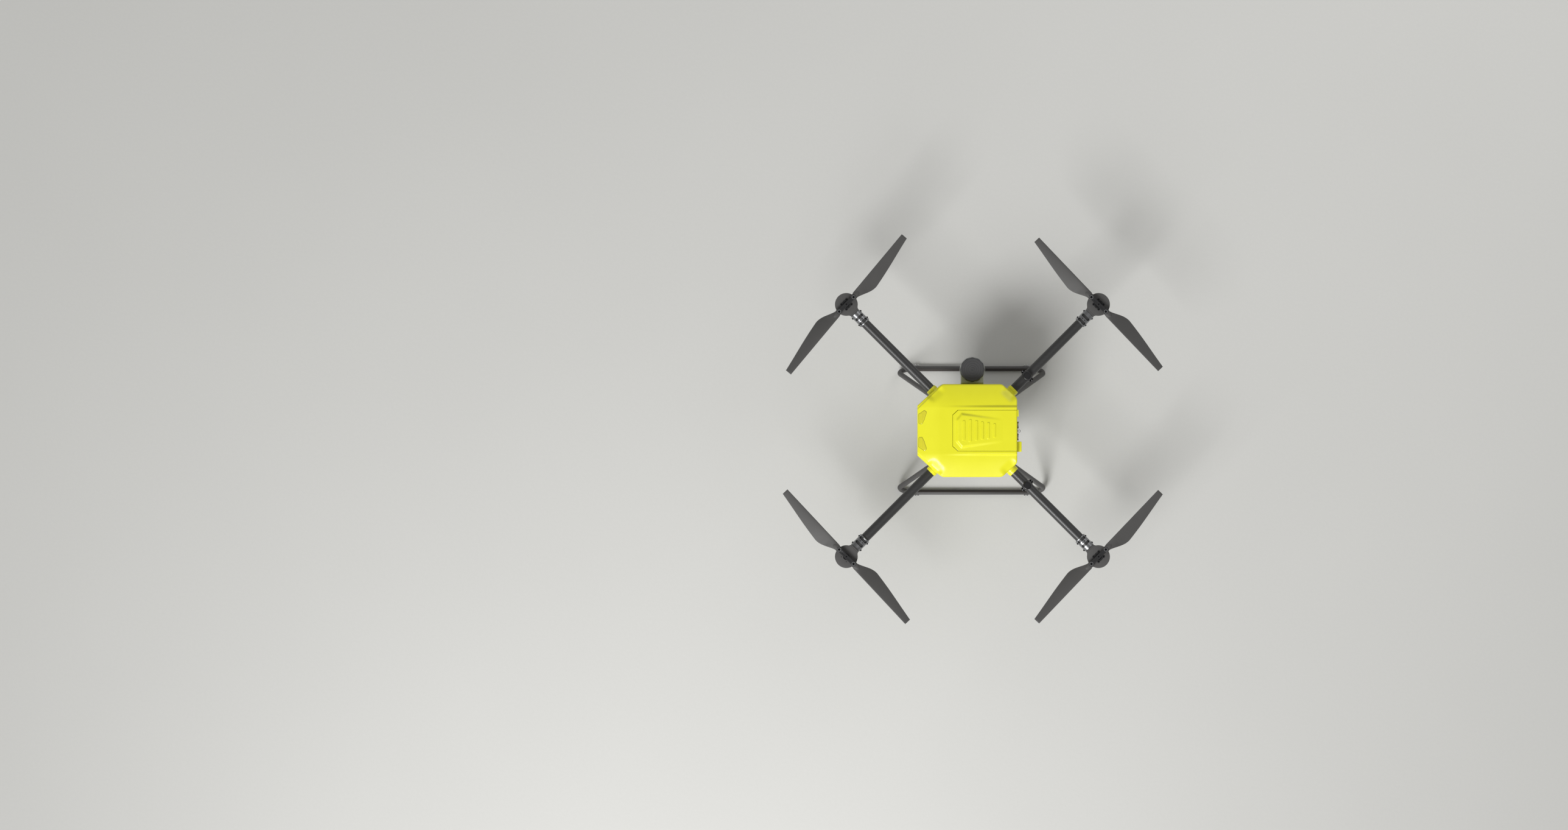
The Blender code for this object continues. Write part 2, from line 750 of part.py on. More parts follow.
def grid_x():
    falling = [-NOSE + NOSE_SLOPE * share for share in (0.13, 0.35, 0.60, 0.80, 1.0)]
    return [-NOSE - 0.01, *falling, -0.02, 0.06, 0.14, TAIL + 0.02]


def grid_y():
    half = [0.0, BAND_HALF, BAND_HALF + BAND_SLOPE, 0.135, 0.168, BODY_HALF + 0.01]
    return [-y for y in half[:0:-1]] + half


def hatch_outline(clearance):
    front = HATCH_FRONT + clearance
    half = HATCH_HALF - clearance
    back = TAIL + 0.01
    points = [
        (front, half - HATCH_CHAMFER[1]),
        (front + HATCH_CHAMFER[0], half),
        (back, half),
    ]
    return mirrored_outline(points)


def top_shell():
    wall = SHELL_WALL
    skin = slab(grid_x(), grid_y(), body_top, lambda x, y: SPLIT)
    hollow = slab(grid_x(), grid_y(), lambda x, y: body_top(x, y) - wall, lambda x, y: SPLIT - 0.01)
    hollow = combined(hollow, [("INTERSECT", prism(body_outline(wall), SPLIT - 0.02, BODY_TOP + 0.02))])
    block = rounded_box(*TAIL_BLOCK, 0.004)
    return combined(
        skin,
        [
            ("INTERSECT", prism(body_outline(), SPLIT - 0.02, BODY_TOP + 0.02)),
            ("DIFFERENCE", hollow),
            ("DIFFERENCE", prism(hatch_outline(0), HATCH_LIP, BODY_TOP + 0.02)),
            ("UNION", block),
        ],
    )


def rounded_box(low, high, radius):
    corners = [(low[0], low[1]), (high[0], low[1]), (high[0], high[1]), (low[0], high[1])]
    return prism(rounded(corners, [radius] * 4, 2), low[2], high[2])


def hatch_bump():
    """The raised panel of the hatch, tallest at its front and level with the hatch at its rear."""
    front, rear = BUMP_FRONT, BUMP_REAR
    wide, narrow = BUMP_FRONT_HALF, BUMP_REAR_HALF
    half = [(front, wide - BUMP_CORNER), (front + BUMP_CORNER * 0.8, wide), (rear, narrow)]
    foot = mirrored_outline(half)
    crown = inset(foot, BUMP_FLARE)

    def rise(x):
        return BODY_TOP + BUMP_RISE * (rear - x) / (rear - front)

    low = BODY_TOP - SHELL_WALL / 2
    return loft([[(x, y, low) for x, y in foot], [(x, y, rise(x)) for x, y in crown]]), rise


def top_hatch():
    wall = SHELL_WALL
    panel = slab(grid_x(), grid_y(), body_top, lambda x, y: body_top(x, y) - wall)
    bump, rise = hatch_bump()
    low = HATCH_LIP + HATCH_GAP
    wide = HATCH_HALF - HATCH_GAP
    back = TAIL - HATCH_GAP
    lip = box((back - wall, -wide, low), (back, wide, BODY_TOP - wall / 2))
    steps = [
        ("INTERSECT", prism(body_outline(HATCH_GAP), SPLIT, BODY_TOP + 0.02)),
        ("INTERSECT", prism(hatch_outline(HATCH_GAP), HATCH_LIP, BODY_TOP + 0.02)),
        ("UNION", lip),
        ("UNION", rounded_box(*HATCH_TAB, 0.003)),
        ("UNION", bump),
    ]
    for place, length in RIBS:
        half = length / 2
        reach = RIB_WIDTH / 2
        corners = [
            (place - reach, -half),
            (place + reach, -half),
            (place + reach, half),
            (place - reach, half),
        ]
        rib = rounded(corners, [reach * 0.9] * 4, 2)
        steps.append(("UNION", prism(rib, BODY_TOP - wall / 2, rise(place) + RIB_RISE)))
    return combined(panel, steps)


def lower_shell():
    """A tray with the four arm collars moulded on and the tank's rails underneath."""
    top = SPLIT - GAP
    wall = SHELL_WALL
    outer = loft(
        [
            [(x, y, BODY_LOW) for x, y in body_outline(LOWER_INSET)],
            [(x, y, top) for x, y in body_outline(TRAY_INSET)],
        ]
    )
    hollow = loft(
        [
            [(x, y, BODY_LOW + wall) for x, y in body_outline(LOWER_INSET + wall)],
            [(x, y, top + 0.001) for x, y in body_outline(wall + TRAY_INSET)],
        ]
    )
    steps = [("DIFFERENCE", hollow)]
    for azimuth in ARMS.values():
        collar = along_x(disc(COLLAR_RADIUS, COLLAR_IN, COLLAR_OUT))
        steps.append(("UNION", spun(shifted(collar, (0, 0, ARM_HEIGHT)), azimuth)))
    for azimuth in ARMS.values():
        bore = along_x(disc(ARM_RADIUS + RUNNING, COLLAR_IN - 0.03, COLLAR_OUT + 0.01))
        steps.append(("DIFFERENCE", spun(shifted(bore, (0, 0, ARM_HEIGHT)), azimuth)))
    for side in (-1, 1):
        web_in = side * (TANK_HALF + TANK_FLANGE + RAIL_CLEAR)
        web_out = web_in + side * RAIL_THICK
        lip_in = side * (TANK_HALF + RAIL_CLEAR)
        lip_top = TANK_HIGH - FLANGE_THICK - GAP
        low = lip_top - RAIL_LIP
        length = RAIL_HALF_LENGTH
        web = box(
            (min(web_in, web_out), -length, low),
            (max(web_in, web_out), length, BODY_LOW + wall / 2),
        )
        lip = box((min(lip_in, web_out), -length, low), (max(lip_in, web_out), length, lip_top))
        steps += [("UNION", combined(web, [("UNION", lip)]))]
    return combined(outer, steps)


def centre_frame():
    """The sandwich that clamps the arm tubes, on stand-offs from the tray's floor."""
    low = ARM_HEIGHT - FRAME_RISE
    high = ARM_HEIGHT + FRAME_RISE
    half = FRAME_HALF
    corner = FRAME_CORNER
    front = [(-half - corner, half - corner), (-half, half)]
    outline = mirrored_outline(front + [(half, half), (half + corner / 2, half - corner)])
    steps = [("UNION", prism(outline, high - FRAME_PLATE / 4, high + FRAME_PLATE * 3 / 4))]
    block = box(
        (FRAME_BLOCK_RADIUS - FRAME_BLOCK_LENGTH / 2, -FRAME_BLOCK_WIDTH / 2, low - FRAME_PLATE / 4),
        (FRAME_BLOCK_RADIUS + FRAME_BLOCK_LENGTH / 2, FRAME_BLOCK_WIDTH / 2, high + FRAME_PLATE / 4),
    )
    bore = along_x(disc(ARM_RADIUS + RUNNING, ARM_INNER_REACH - 0.01, FRAME_BLOCK_RADIUS + 0.06))
    for azimuth in ARMS.values():
        steps.append(("UNION", spun(block, azimuth)))
    for azimuth in ARMS.values():
        steps.append(("DIFFERENCE", spun(shifted(bore, (0, 0, ARM_HEIGHT)), azimuth)))
    for x in (-STANDOFF_PLACE, STANDOFF_PLACE):
        for y in (-STANDOFF_PLACE / 2, STANDOFF_PLACE / 2):
            post = disc(STANDOFF_RADIUS, BODY_LOW + SHELL_WALL + GAP, low, 6, (x, y))
            steps.append(("UNION", post))
    return combined(prism(outline, low - FRAME_PLATE, low), steps)


def latch_housing():
    front = TAIL + GAP
    back = front + LATCH_DEPTH
    centre = LATCH_CENTRE
    notch = box(
        (front + LATCH_BACK, centre - LATCH_NOTCH, LATCH_LOW - 0.01),
        (back + 0.01, centre + LATCH_NOTCH, LATCH_HIGH + 0.01),
    )
    bar = box((front, centre - LATCH_HALF, LATCH_LOW), (back, centre + LATCH_HALF, LATCH_HIGH))
    return combined(bar, [("DIFFERENCE", notch)])


def latch_pull():
    """A pull ring on its plunger, lying level in the notch of the housing."""
    inner = RING_RADIUS - RING_WIRE
    wire = RING_WIRE
    outer = RING_RADIUS + wire / 2
    ring = disc(outer, -wire, wire)
    eye = disc(inner, -0.01, 0.01)
    height = (LATCH_LOW + LATCH_HIGH) / 2
    start = TAIL + GAP + LATCH_BACK + GAP
    ring = shifted(combined(ring, [("DIFFERENCE", eye)]), (start + outer, LATCH_CENTRE, height))
    half = 0.003
    plunger = box(
        (start, LATCH_CENTRE - half, height - half),
        (start + 0.002, LATCH_CENTRE + half, height + half),
    )
    return combined(ring, [("UNION", plunger)])


def battery_pack():
    low = ARM_HEIGHT + FRAME_RISE + FRAME_PLATE * 3 / 4 + GAP
    length, width, height = BATTERY
    return rounded_box((-length / 2, -width / 2, low), (length / 2, width / 2, low + height), 0.006)


def flight_controller():
    low = ARM_HEIGHT + FRAME_RISE + FRAME_PLATE * 3 / 4 + GAP
    length, width, height = CONTROLLER
    centre = CONTROLLER_PLACE
    front = centre - length / 2
    return rounded_box((front, -width / 2, low), (front + length, width / 2, low + height), 0.004)


def spout_outline(half, start):
    """A straight-sided block that ends in a half round about the filler."""
    angles = [math.radians(a) for a in range(-90, 91, 18)]
    end = [(half * math.sin(a), FILLER_PLACE + half * math.cos(a)) for a in angles]
    return [(-half, start)] + end + [(half, start)]


def spray_tank():
    wall = TANK_WALL
    riser_start = BODY_HALF + SPOUT_CLEAR
    neck_high = SPOUT_HIGH + NECK_RISE
    place = (0, FILLER_PLACE)
    half = TANK_HALF
    main = rounded_box((-half, TANK_FRONT, TANK_LOW), (half, TANK_BACK, TANK_HIGH), TANK_ROUND)
    brim = half + TANK_FLANGE
    flange = box(
        (-brim, TANK_FRONT + TANK_ROUND, TANK_HIGH - FLANGE_THICK),
        (brim, TANK_BACK - TANK_ROUND, TANK_HIGH),
    )
    collar = disc(FILLER_COLLAR, SPOUT_HIGH - FILLER_COLLAR_THICK, SPOUT_HIGH, 24, place)
    inner = SPOUT_HALF - wall
    cavity = rounded_box(
        (-half + wall, TANK_FRONT + wall, TANK_LOW + wall),
        (half - wall, TANK_BACK - wall, TANK_HIGH - wall),
        TANK_ROUND - wall,
    )
    passage = prism(spout_outline(inner, TANK_BACK - 0.02), SPOUT_LOW + wall, TANK_HIGH - wall)
    well = prism(spout_outline(inner, riser_start + wall), SPOUT_LOW + wall + 0.001, SPOUT_HIGH - wall)
    throat = disc(NECK_RADIUS - NECK_WALL, SPOUT_HIGH - 0.02, neck_high + 0.01, centre=place)
    return combined(
        main,
        [
            ("UNION", flange),
            ("UNION", prism(spout_outline(SPOUT_HALF, TANK_BACK - 0.01), SPOUT_LOW, TANK_HIGH)),
            ("UNION", prism(spout_outline(SPOUT_HALF, riser_start), SPOUT_LOW + 0.01, SPOUT_HIGH)),
            ("UNION", collar),
            ("UNION", disc(NECK_RADIUS, SPOUT_HIGH - 0.001, neck_high, centre=place)),
            ("DIFFERENCE", cavity),
            ("DIFFERENCE", passage),
            ("DIFFERENCE", well),
            ("DIFFERENCE", throat),
        ],
    )


def cap_seal():
    """The flat gasket on the neck's rim, which lifts with the cap; built about the filler's axis."""
    low = SPOUT_HIGH + NECK_RISE + GAP
    outer = NECK_RADIUS
    inner = outer - NECK_WALL
    high = low + SEAL_THICK
    return turned([(outer, high), (outer, low), (inner, low), (inner, high)])


def filler_cap():
    """A lobed screw cap over the neck; built about the filler's axis."""
    low = SPOUT_HIGH + CAP_LIFT_GAP
    high = low + CAP_HEIGHT
    count = CAP_LOBES * 4
    outline = []
    for k in range(count):
        angle = 2 * math.pi * k / count
        radius = CAP_RADIUS + CAP_LOBE_DEPTH * math.cos(CAP_LOBES * angle)
        outline.append((radius * math.cos(angle), radius * math.sin(angle)))
    roof = SPOUT_HIGH + NECK_RISE + GAP + SEAL_THICK + GAP
    crown = [(x * 0.93, y * 0.93, high) for x, y in outline]
    body = loft([[(x, y, low) for x, y in outline], [(x, y, high - 0.004) for x, y in outline], crown])
    dish = disc(CAP_RADIUS * 0.80, high - 0.0015, high + 0.01)
    knob = disc(0.009, high - 0.004, high + 0.001, 12)
    bore = disc(NECK_RADIUS + 0.001, low - 0.01, roof)
    return combined(body, [("DIFFERENCE", bore), ("DIFFERENCE", dish), ("UNION", knob)])


def spray_pump():
    """A diaphragm pump under the tray: head, motor and an inlet stub towards the tank."""
    back = TANK_FRONT - 0.006
    top = BODY_LOW - GAP
    mid = (PUMP_FRONT + back) / 2
    depth = (back - PUMP_FRONT) / 2
    head = box((-PUMP_HALF, PUMP_FRONT, PUMP_LOW), (0, back, top))
    bracket = box((-PUMP_HALF, PUMP_FRONT, top - 0.004), (PUMP_HALF, back, top))
    motor = along_x(disc(min(PUMP_MOTOR_RADIUS, depth), -PUMP_HALF * 0.2, PUMP_HALF * 1.5, 16))
    stub = along_y(disc(0.006, back - 0.01, TANK_FRONT - GAP, 10))
    height = (PUMP_LOW + top) / 2
    return combined(
        head,
        [
            ("UNION", bracket),
            ("UNION", shifted(motor, (0, mid, height))),
            ("UNION", shifted(stub, (-PUMP_HALF / 2, 0, height - 0.015))),
        ],
    )


# Undercarriage


def skid_height():
    """The skid rests on its lowest flat, so its axis lies one inner radius up."""
    return SKID_RADIUS * math.cos(math.pi / SKID_SIDES)


def skid_tube():
    """A skid along X with two studs near each end, towards +Y."""
    tube = along_x(disc(SKID_RADIUS, -SKID_HALF, SKID_HALF, SKID_SIDES))
    bore = along_x(disc(SKID_RADIUS - SKID_WALL, -SKID_HALF - 0.01, SKID_HALF + 0.01, SKID_SIDES))
    steps = [("DIFFERENCE", bore)]
    for end in (-1, 1):
        for k in (0, 1):
            stud = along_y(disc(STUD_RADIUS, SKID_RADIUS - 0.0015, SKID_RADIUS + STUD_LENGTH, 8))
            steps.append(("UNION", shifted(stud, (end * (SKID_HALF - 0.006 - k * STUD_PITCH), 0, 0))))
    return combined(tube, steps)


def leg_route():
    """The leg's middle line in the +X +Y quarter: down and out to a bent elbow, then along the skid."""
    ground = skid_height()
    top = Vector((*LEG_TOP, BODY_LOW - GAP - LEG_PLATE_THICK / 2))
    elbow = Vector((*LEG_ELBOW, ground))
    end = Vector((SKID_HALF + GAP, SKID_PLACE, ground))
    straight = end + Vector((LEG_STRAIGHT, 0, 0))
    before = (top - elbow).normalized()
    after = (straight - elbow).normalized()
    half = before.angle(after) / 2
    reach = LEG_BEND / math.tan(half)
    centre = elbow + (before + after).normalized() * (LEG_BEND / math.sin(half))
    start = (elbow + before * reach - centre).normalized()
    finish = (elbow + after * reach - centre).normalized()
    steps = 6
    bend = [centre + start.slerp(finish, k / steps) * LEG_BEND for k in range(steps + 1)]
    return [top, *bend, straight, end]


def tube_through(points, radius, sides):
    """A round bar along points, its ends square to its first and last stretch."""
    rings = []
    for i, point in enumerate(points):
        ahead = (points[min(i + 1, len(points) - 1)] - points[max(i - 1, 0)]).normalized()
        if i == 0:
            across = Vector((-ahead.y, ahead.x, 0))
        across = (across - ahead * across.dot(ahead)).normalized()
        other = ahead.cross(across)
        step = 2 * math.pi / sides
        angles = [(k + 0.5) * step for k in range(sides)]
        rings.append([point + (across * math.cos(a) + other * math.sin(a)) * radius for a in angles])
    return loft(rings)


def landing_leg():
    route = leg_route()
    bar = tube_through(route, SKID_RADIUS, 12)
    inside = SKID_RADIUS - SKID_WALL - RUNNING
    spigot = along_x(disc(inside * 0.96, SKID_HALF - LEG_SPIGOT_LENGTH, SKID_HALF + 0.012, 12))
    spigot = shifted(spigot, (0, SKID_PLACE, skid_height()))
    x, y = LEG_TOP
    top = BODY_LOW - GAP
    plate = rounded_box(
        (x - LEG_PLATE, y - LEG_PLATE, top - LEG_PLATE_THICK), (x + LEG_PLATE, y + LEG_PLATE, top), 0.006
    )
    trim = box((0, 0, top - 0.0005), (0.4, 0.4, top + 0.05))
    return combined(bar, [("DIFFERENCE", trim), ("UNION", spigot), ("UNION", plate)])


def gnss_antenna():
    """A round antenna on a two-lobed clamp; built about the arm axis with the puck above it."""
    length = ANTENNA_CLAMP_LENGTH / 2
    outer = ARM_RADIUS + RUNNING + ANTENNA_CLAMP_WALL
    top = outer + 0.001
    ear_low = -0.003
    steps = [
        ("UNION", box((-length * 0.7, -ANTENNA_EAR, ear_low), (length * 0.7, ANTENNA_EAR, -ear_low))),
        ("UNION", disc(ANTENNA_RADIUS, top - 0.006, top + ANTENNA_HEIGHT)),
        ("DIFFERENCE", along_x(disc(ARM_RADIUS + RUNNING, -0.05, 0.05))),
    ]
    return combined(along_x(disc(outer, -length, length)), steps)


def build_body():
    link("top_shell", top_shell(), "yellow_shell")
    hinge = (HATCH_FRONT, 0, BODY_TOP)
    link("top_hatch", shifted(top_hatch(), -Vector(hinge)), "yellow_shell", None, hinge)
    link("lower_shell", lower_shell(), "yellow_shell")
    link("centre_frame", centre_frame(), "aluminium")
    link("hatch_latch_housing", latch_housing(), "black_plastic")
    link("hatch_latch_pull", latch_pull(), "steel")
    link("battery_pack", battery_pack(), "battery")
    link("flight_controller", flight_controller(), "black_plastic")
    link("spray_tank", spray_tank(), "tank")
    filler = (0, FILLER_PLACE, 0)
    link("filler_cap_seal", cap_seal(), "rubber", None, filler)
    link("filler_cap", filler_cap(), "black_plastic", None, filler)
    link("spray_pump", spray_pump(), "black_plastic")


def build_undercarriage():
    height = skid_height()
    skid = skid_tube()
    for side, y in (("right", 1), ("left", -1)):
        turn = 0 if y > 0 else 180
        link(f"{side}_skid_tube", skid, "carbon", None, (0, y * SKID_PLACE, height), turn)
    leg = landing_leg()
    for corner, azimuth in ARMS.items():
        x = math.copysign(1, math.cos(math.radians(azimuth)))
        y = math.copysign(1, math.sin(math.radians(azimuth)))
        link(f"{corner}_leg", moved(leg, Matrix.Diagonal((x, y, 1, 1))), "carbon")
    antenna = gnss_antenna()
    for corner in ("rear_right", "rear_left"):
        azimuth = ARMS[corner]
        bearing = math.radians(azimuth)
        place = (ANTENNA_REACH * math.cos(bearing), ANTENNA_REACH * math.sin(bearing), ARM_HEIGHT)
        link(f"{corner}_gnss_antenna", antenna, "black_plastic", None, place, azimuth)


clear_scene()
build_arms()
build_body()
build_undercarriage()
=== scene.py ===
import math

import bmesh
import bpy
from mathutils import Matrix, Vector
from mathutils.geometry import delaunay_2d_cdt


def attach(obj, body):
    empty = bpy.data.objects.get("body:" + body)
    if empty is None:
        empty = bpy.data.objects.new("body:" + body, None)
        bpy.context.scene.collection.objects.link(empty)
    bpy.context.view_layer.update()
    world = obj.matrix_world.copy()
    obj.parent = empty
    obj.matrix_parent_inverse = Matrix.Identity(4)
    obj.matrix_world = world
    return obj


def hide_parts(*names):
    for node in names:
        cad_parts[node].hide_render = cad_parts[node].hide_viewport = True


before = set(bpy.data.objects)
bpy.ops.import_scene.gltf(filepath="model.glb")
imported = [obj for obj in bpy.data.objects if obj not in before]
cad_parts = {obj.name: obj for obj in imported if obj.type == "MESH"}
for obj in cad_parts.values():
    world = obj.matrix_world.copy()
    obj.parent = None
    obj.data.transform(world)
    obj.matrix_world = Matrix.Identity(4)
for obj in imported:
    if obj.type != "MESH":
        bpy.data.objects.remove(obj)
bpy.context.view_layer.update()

print("stage: frame loaded")


# sockets as values, so that shader maths reads as expressions
class Flow:
    def __init__(self, graph, socket):
        self.graph = graph
        self.socket = socket

    def __add__(self, other):
        return self.graph.math("ADD", self, other)

    def __radd__(self, other):
        return self.graph.math("ADD", other, self)

    def __sub__(self, other):
        return self.graph.math("SUBTRACT", self, other)

    def __rsub__(self, other):
        return self.graph.math("SUBTRACT", other, self)

    def __mul__(self, other):
        return self.graph.math("MULTIPLY", self, other)

    def __rmul__(self, other):
        return self.graph.math("MULTIPLY", other, self)

    def __truediv__(self, other):
        return self.graph.math("DIVIDE", self, other)

    def __rtruediv__(self, other):
        return self.graph.math("DIVIDE", other, self)

    def __lt__(self, other):
        return self.graph.math("LESS_THAN", self, other)

    def __gt__(self, other):
        return self.graph.math("GREATER_THAN", self, other)


class Graph:
    def __init__(self, name):
        self.material = bpy.data.materials.new(name)
        self.material.use_nodes = True
        self.tree = self.material.node_tree
        self.shader = self.tree.nodes["Principled BSDF"]

    def feed(self, socket, value):
        if isinstance(value, Flow):
            self.tree.links.new(value.socket, socket)
        else:
            socket.default_value = value

    # kind of node, its settings, then what its sockets hold or are linked to
    def make(self, kind, settings, inputs, output=0):
        made = self.tree.nodes.new("ShaderNode" + kind)
        for name, value in settings.items():
            setattr(made, name, value)
        for name, value in inputs.items():
            self.feed(made.inputs[name], value)
        return Flow(self, made.outputs[output])

    def math(self, kind, first, second=0.0):
        return self.make("Math", {"operation": kind}, {0: first, 1: second})

    def blend(self, factor, first, second):
        return self.make("Mix", {"data_type": "RGBA"}, {0: factor, 6: first, 7: second}, 2)

    def surface(self, inputs):
        for name, value in inputs.items():
            self.feed(self.shader.inputs[name], value)

    def noise(self, vector, size, detail=3.0):
        return self.make("TexNoise", {}, {"Vector": vector, "Scale": 1.0 / size, "Detail": detail})

    def bump(self, height, depth):
        return self.make("Bump", {}, {"Height": height, "Strength": 1.0, "Distance": depth})


def tint(red, green, blue):
    def linear(part):
        part /= 255
        return part / 12.92 if part <= 0.04045 else ((part + 0.055) / 1.055) ** 2.4

    return (linear(red), linear(green), linear(blue), 1.0)


# finishes: two tones mixed by a cloud and a grain, a roughness with its spread, and the grain's depth in metres
usualFinish = {"cloud": 0.02, "spread": 0.12, "coat": 0.0}
finishValues = {
    "shellYellow": {"tones": ((236, 234, 40), (226, 222, 26)), "cloud": 0.06, "grain": 0.0016,
                    "rough": 0.34, "depth": 0.00003, "coat": 0.15},
    "lampLens": {"tones": ((222, 214, 44), (206, 198, 36)), "grain": 0.0012, "rough": 0.10,
                 "spread": 0.06, "depth": 0.00002, "coat": 0.8},
    "podPlastic": {"tones": ((78, 77, 76), (68, 67, 66)), "cloud": 0.03, "grain": 0.0007, "rough": 0.62,
                   "depth": 0.00005},
    "blackPlastic": {"tones": ((34, 34, 36), (26, 26, 28)), "grain": 0.0006, "rough": 0.48,
                     "spread": 0.14, "depth": 0.00004},
    "antennaBlack": {"tones": ((22, 22, 24), (16, 16, 18)), "grain": 0.0008, "rough": 0.30,
                     "spread": 0.10, "depth": 0.00002, "coat": 0.2},
    "bladeGrey": {"tones": ((74, 73, 72), (64, 63, 62)), "cloud": 0.05, "grain": 0.0009, "rough": 0.58,
                  "depth": 0.00005},
    "hubBlack": {"tones": ((30, 30, 31), (22, 22, 24)), "cloud": 0.01, "grain": 0.0006, "rough": 0.44,
                 "depth": 0.00003},
    "legGrey": {"tones": ((84, 83, 82), (70, 69, 68)), "cloud": 0.04, "grain": 0.0011, "rough": 0.50,
                "spread": 0.10, "depth": 0.00004},
    # the skid's inward half: a darker brown tone painted on as shade
    "skidShadeBrown": {"tones": ((52, 46, 42), (40, 36, 33)), "cloud": 0.03, "grain": 0.0010, "rough": 0.70,
                  "spread": 0.14, "depth": 0.00008},
    "tankPlastic": {"tones": ((186, 189, 186), (168, 172, 168)), "cloud": 0.05, "grain": 0.0014,
                    "rough": 0.40, "depth": 0.00006, "coat": 0.1},
    "capGrey": {"tones": ((66, 66, 67), (57, 57, 58)), "grain": 0.0008, "rough": 0.52, "depth": 0.00005},
    "blackRubberAndShade": {"tones": ((24, 24, 24), (17, 17, 17)), "grain": 0.0007, "rough": 0.82, "depth": 0.00006},
    "batteryWrap": {"tones": ((40, 46, 58), (30, 34, 44)), "cloud": 0.03, "grain": 0.0012, "rough": 0.36,
                    "depth": 0.00004, "coat": 0.2},
    "whiteNylon": {"tones": ((224, 224, 220), (208, 208, 204)), "cloud": 0.01, "grain": 0.0005,
                   "rough": 0.50, "spread": 0.10, "depth": 0.00002},
    "floorPale": {"tones": ((206, 206, 203), (200, 200, 197)), "cloud": 0.9, "grain": 0.012,
                  "rough": 0.72, "spread": 0.08, "depth": 0.0002},
}


def finish(name):
    values = {**usualFinish, **finishValues[name]}
    graph = Graph(name)
    place = graph.make("TexCoord", {}, {}, "Object")
    cloud = graph.noise(place, values["cloud"], 2.0)
    grain = graph.noise(place, values["grain"])
    share = cloud * 0.55 + grain * 0.45
    first, second = (tint(*tone) for tone in values["tones"])
    graph.surface({
        "Base Color": graph.blend(share, first, second),
        "Roughness": values["rough"] + (grain - 0.5) * values["spread"],
        "Coat Weight": values["coat"],
        "Coat Roughness": 0.12,
        "Normal": graph.bump(grain, values["depth"]),
    })
    return graph.material


# metals: two tones, a roughness, and scratches drawn out along X
metalValues = {
    "clampAluminium": {"tones": ((150, 151, 153), (128, 129, 131)), "rough": 0.34, "stretch": 40.0,
                       "scratch": 0.0006},
    "motorMetal": {"tones": ((96, 96, 98), (74, 74, 76)), "rough": 0.36, "stretch": 4.0, "scratch": 0.0008},
    "screwSteel": {"tones": ((176, 177, 179), (150, 151, 153)), "rough": 0.26, "stretch": 3.0,
                   "scratch": 0.0004},
    "screwBlack": {"tones": ((44, 44, 46), (34, 34, 36)), "rough": 0.36, "stretch": 3.0, "scratch": 0.0004},
    "brass": {"tones": ((190, 170, 104), (160, 140, 84)), "rough": 0.30, "stretch": 3.0, "scratch": 0.0004},
    "copperWire": {"tones": ((182, 108, 66), (120, 64, 38)), "rough": 0.38, "stretch": 1.0,
                   "scratch": 0.0012},
}


def metal(name):
    values = metalValues[name]
    graph = Graph(name)
    place = graph.make("TexCoord", {}, {}, "Object")
    drawn = graph.make("Mapping", {}, {"Vector": place, "Scale": (1.0 / values["stretch"], 1.0, 1.0)})
    scratch = graph.noise(drawn, values["scratch"], 2.0)
    wear = graph.noise(place, 0.02, 2.0)
    first, second = (tint(*tone) for tone in values["tones"])
    graph.surface({
        "Base Color": graph.blend(scratch * 0.6 + wear * 0.4, first, second),
        "Metallic": 1.0,
        "Roughness": values["rough"] + (scratch - 0.5) * 0.16,
        "Normal": graph.bump(scratch, 0.00002),
    })
    return graph.material


# woven carbon: tow width and the tube it is wound on, whose axis is the piece's own X
weaveValues = {
    "armCarbon": {"tow": 0.0022, "radius": 0.020, "tones": ((34, 34, 34), (54, 54, 54)), "rough": 0.36},
    "plateCarbon": {"tow": 0.0025, "radius": 0.0, "tones": ((26, 26, 28), (44, 44, 47)), "rough": 0.34},
}


def weave(name):
    values = weaveValues[name]
    graph = Graph(name)
    place = graph.make("TexCoord", {}, {}, "Object")
    x, y, z = (graph.make("SeparateXYZ", {}, {0: place}, part) for part in range(3))
    along = x / values["tow"]
    if values["radius"]:
        across = graph.math("ARCTAN2", z, y) * (values["radius"] / values["tow"])
    else:
        across = y / values["tow"]
    step = graph.math("FLOOR", along) - graph.math("FLOOR", across)
    over = graph.math("FLOORED_MODULO", step, 4.0) < 1.5
    ridge = graph.math("ABSOLUTE", graph.math("SINE", along * math.pi))
    other = graph.math("ABSOLUTE", graph.math("SINE", across * math.pi))
    height = over * ridge + (1.0 - over) * other
    first, second = (tint(*tone) for tone in values["tones"])
    # the base colour is lighter along each tow's crown and darker between tows (painted highlight and painted
    # shade), on top of the twill's two tones
    graph.surface({
        "Base Color": graph.blend(over * 0.55 + height * 0.3, first, second),
        "Roughness": values["rough"] + over * 0.10,
        "Coat Weight": 0.15,
        "Coat Roughness": 0.15,
        "Normal": graph.bump(height, 0.00005),
    })
    return graph.material


materials = {name: finish(name) for name in finishValues}
materials.update({name: metal(name) for name in metalValues})
materials.update({name: weave(name) for name in weaveValues})
print("stage: materials made")


# points and faces, gathered before they become a mesh
class Shape:
    def __init__(self, points=(), faces=()):
        self.points = [Vector(point) for point in points]
        self.faces = [tuple(face) for face in faces]

    def add(self, other, matrix=Matrix()):
        base = len(self.points)
        self.points += [matrix @ point for point in other.points]
        self.faces += [tuple(i + base for i in face) for face in other.faces]
        return self


def polar(radius, angle):
    return (radius * math.cos(angle), radius * math.sin(angle))


def shift(x, y, z):
    return Matrix.Translation((x, y, z))


def turn(degrees, axis="Z"):
    return Matrix.Rotation(math.radians(degrees), 4, axis)


def smooth(mesh, sharp):
    mesh.shade_smooth()
    mesh.set_sharp_from_angle(angle=math.radians(sharp))
    return mesh


def meshFrom(bm, name, sharp):
    mesh = bpy.data.meshes.new(name)
    bm.to_mesh(mesh)
    bm.free()
    return smooth(mesh, sharp)


def linked(name, data):
    made = bpy.data.objects.new(name, data)
    bpy.context.scene.collection.objects.link(made)
    return made


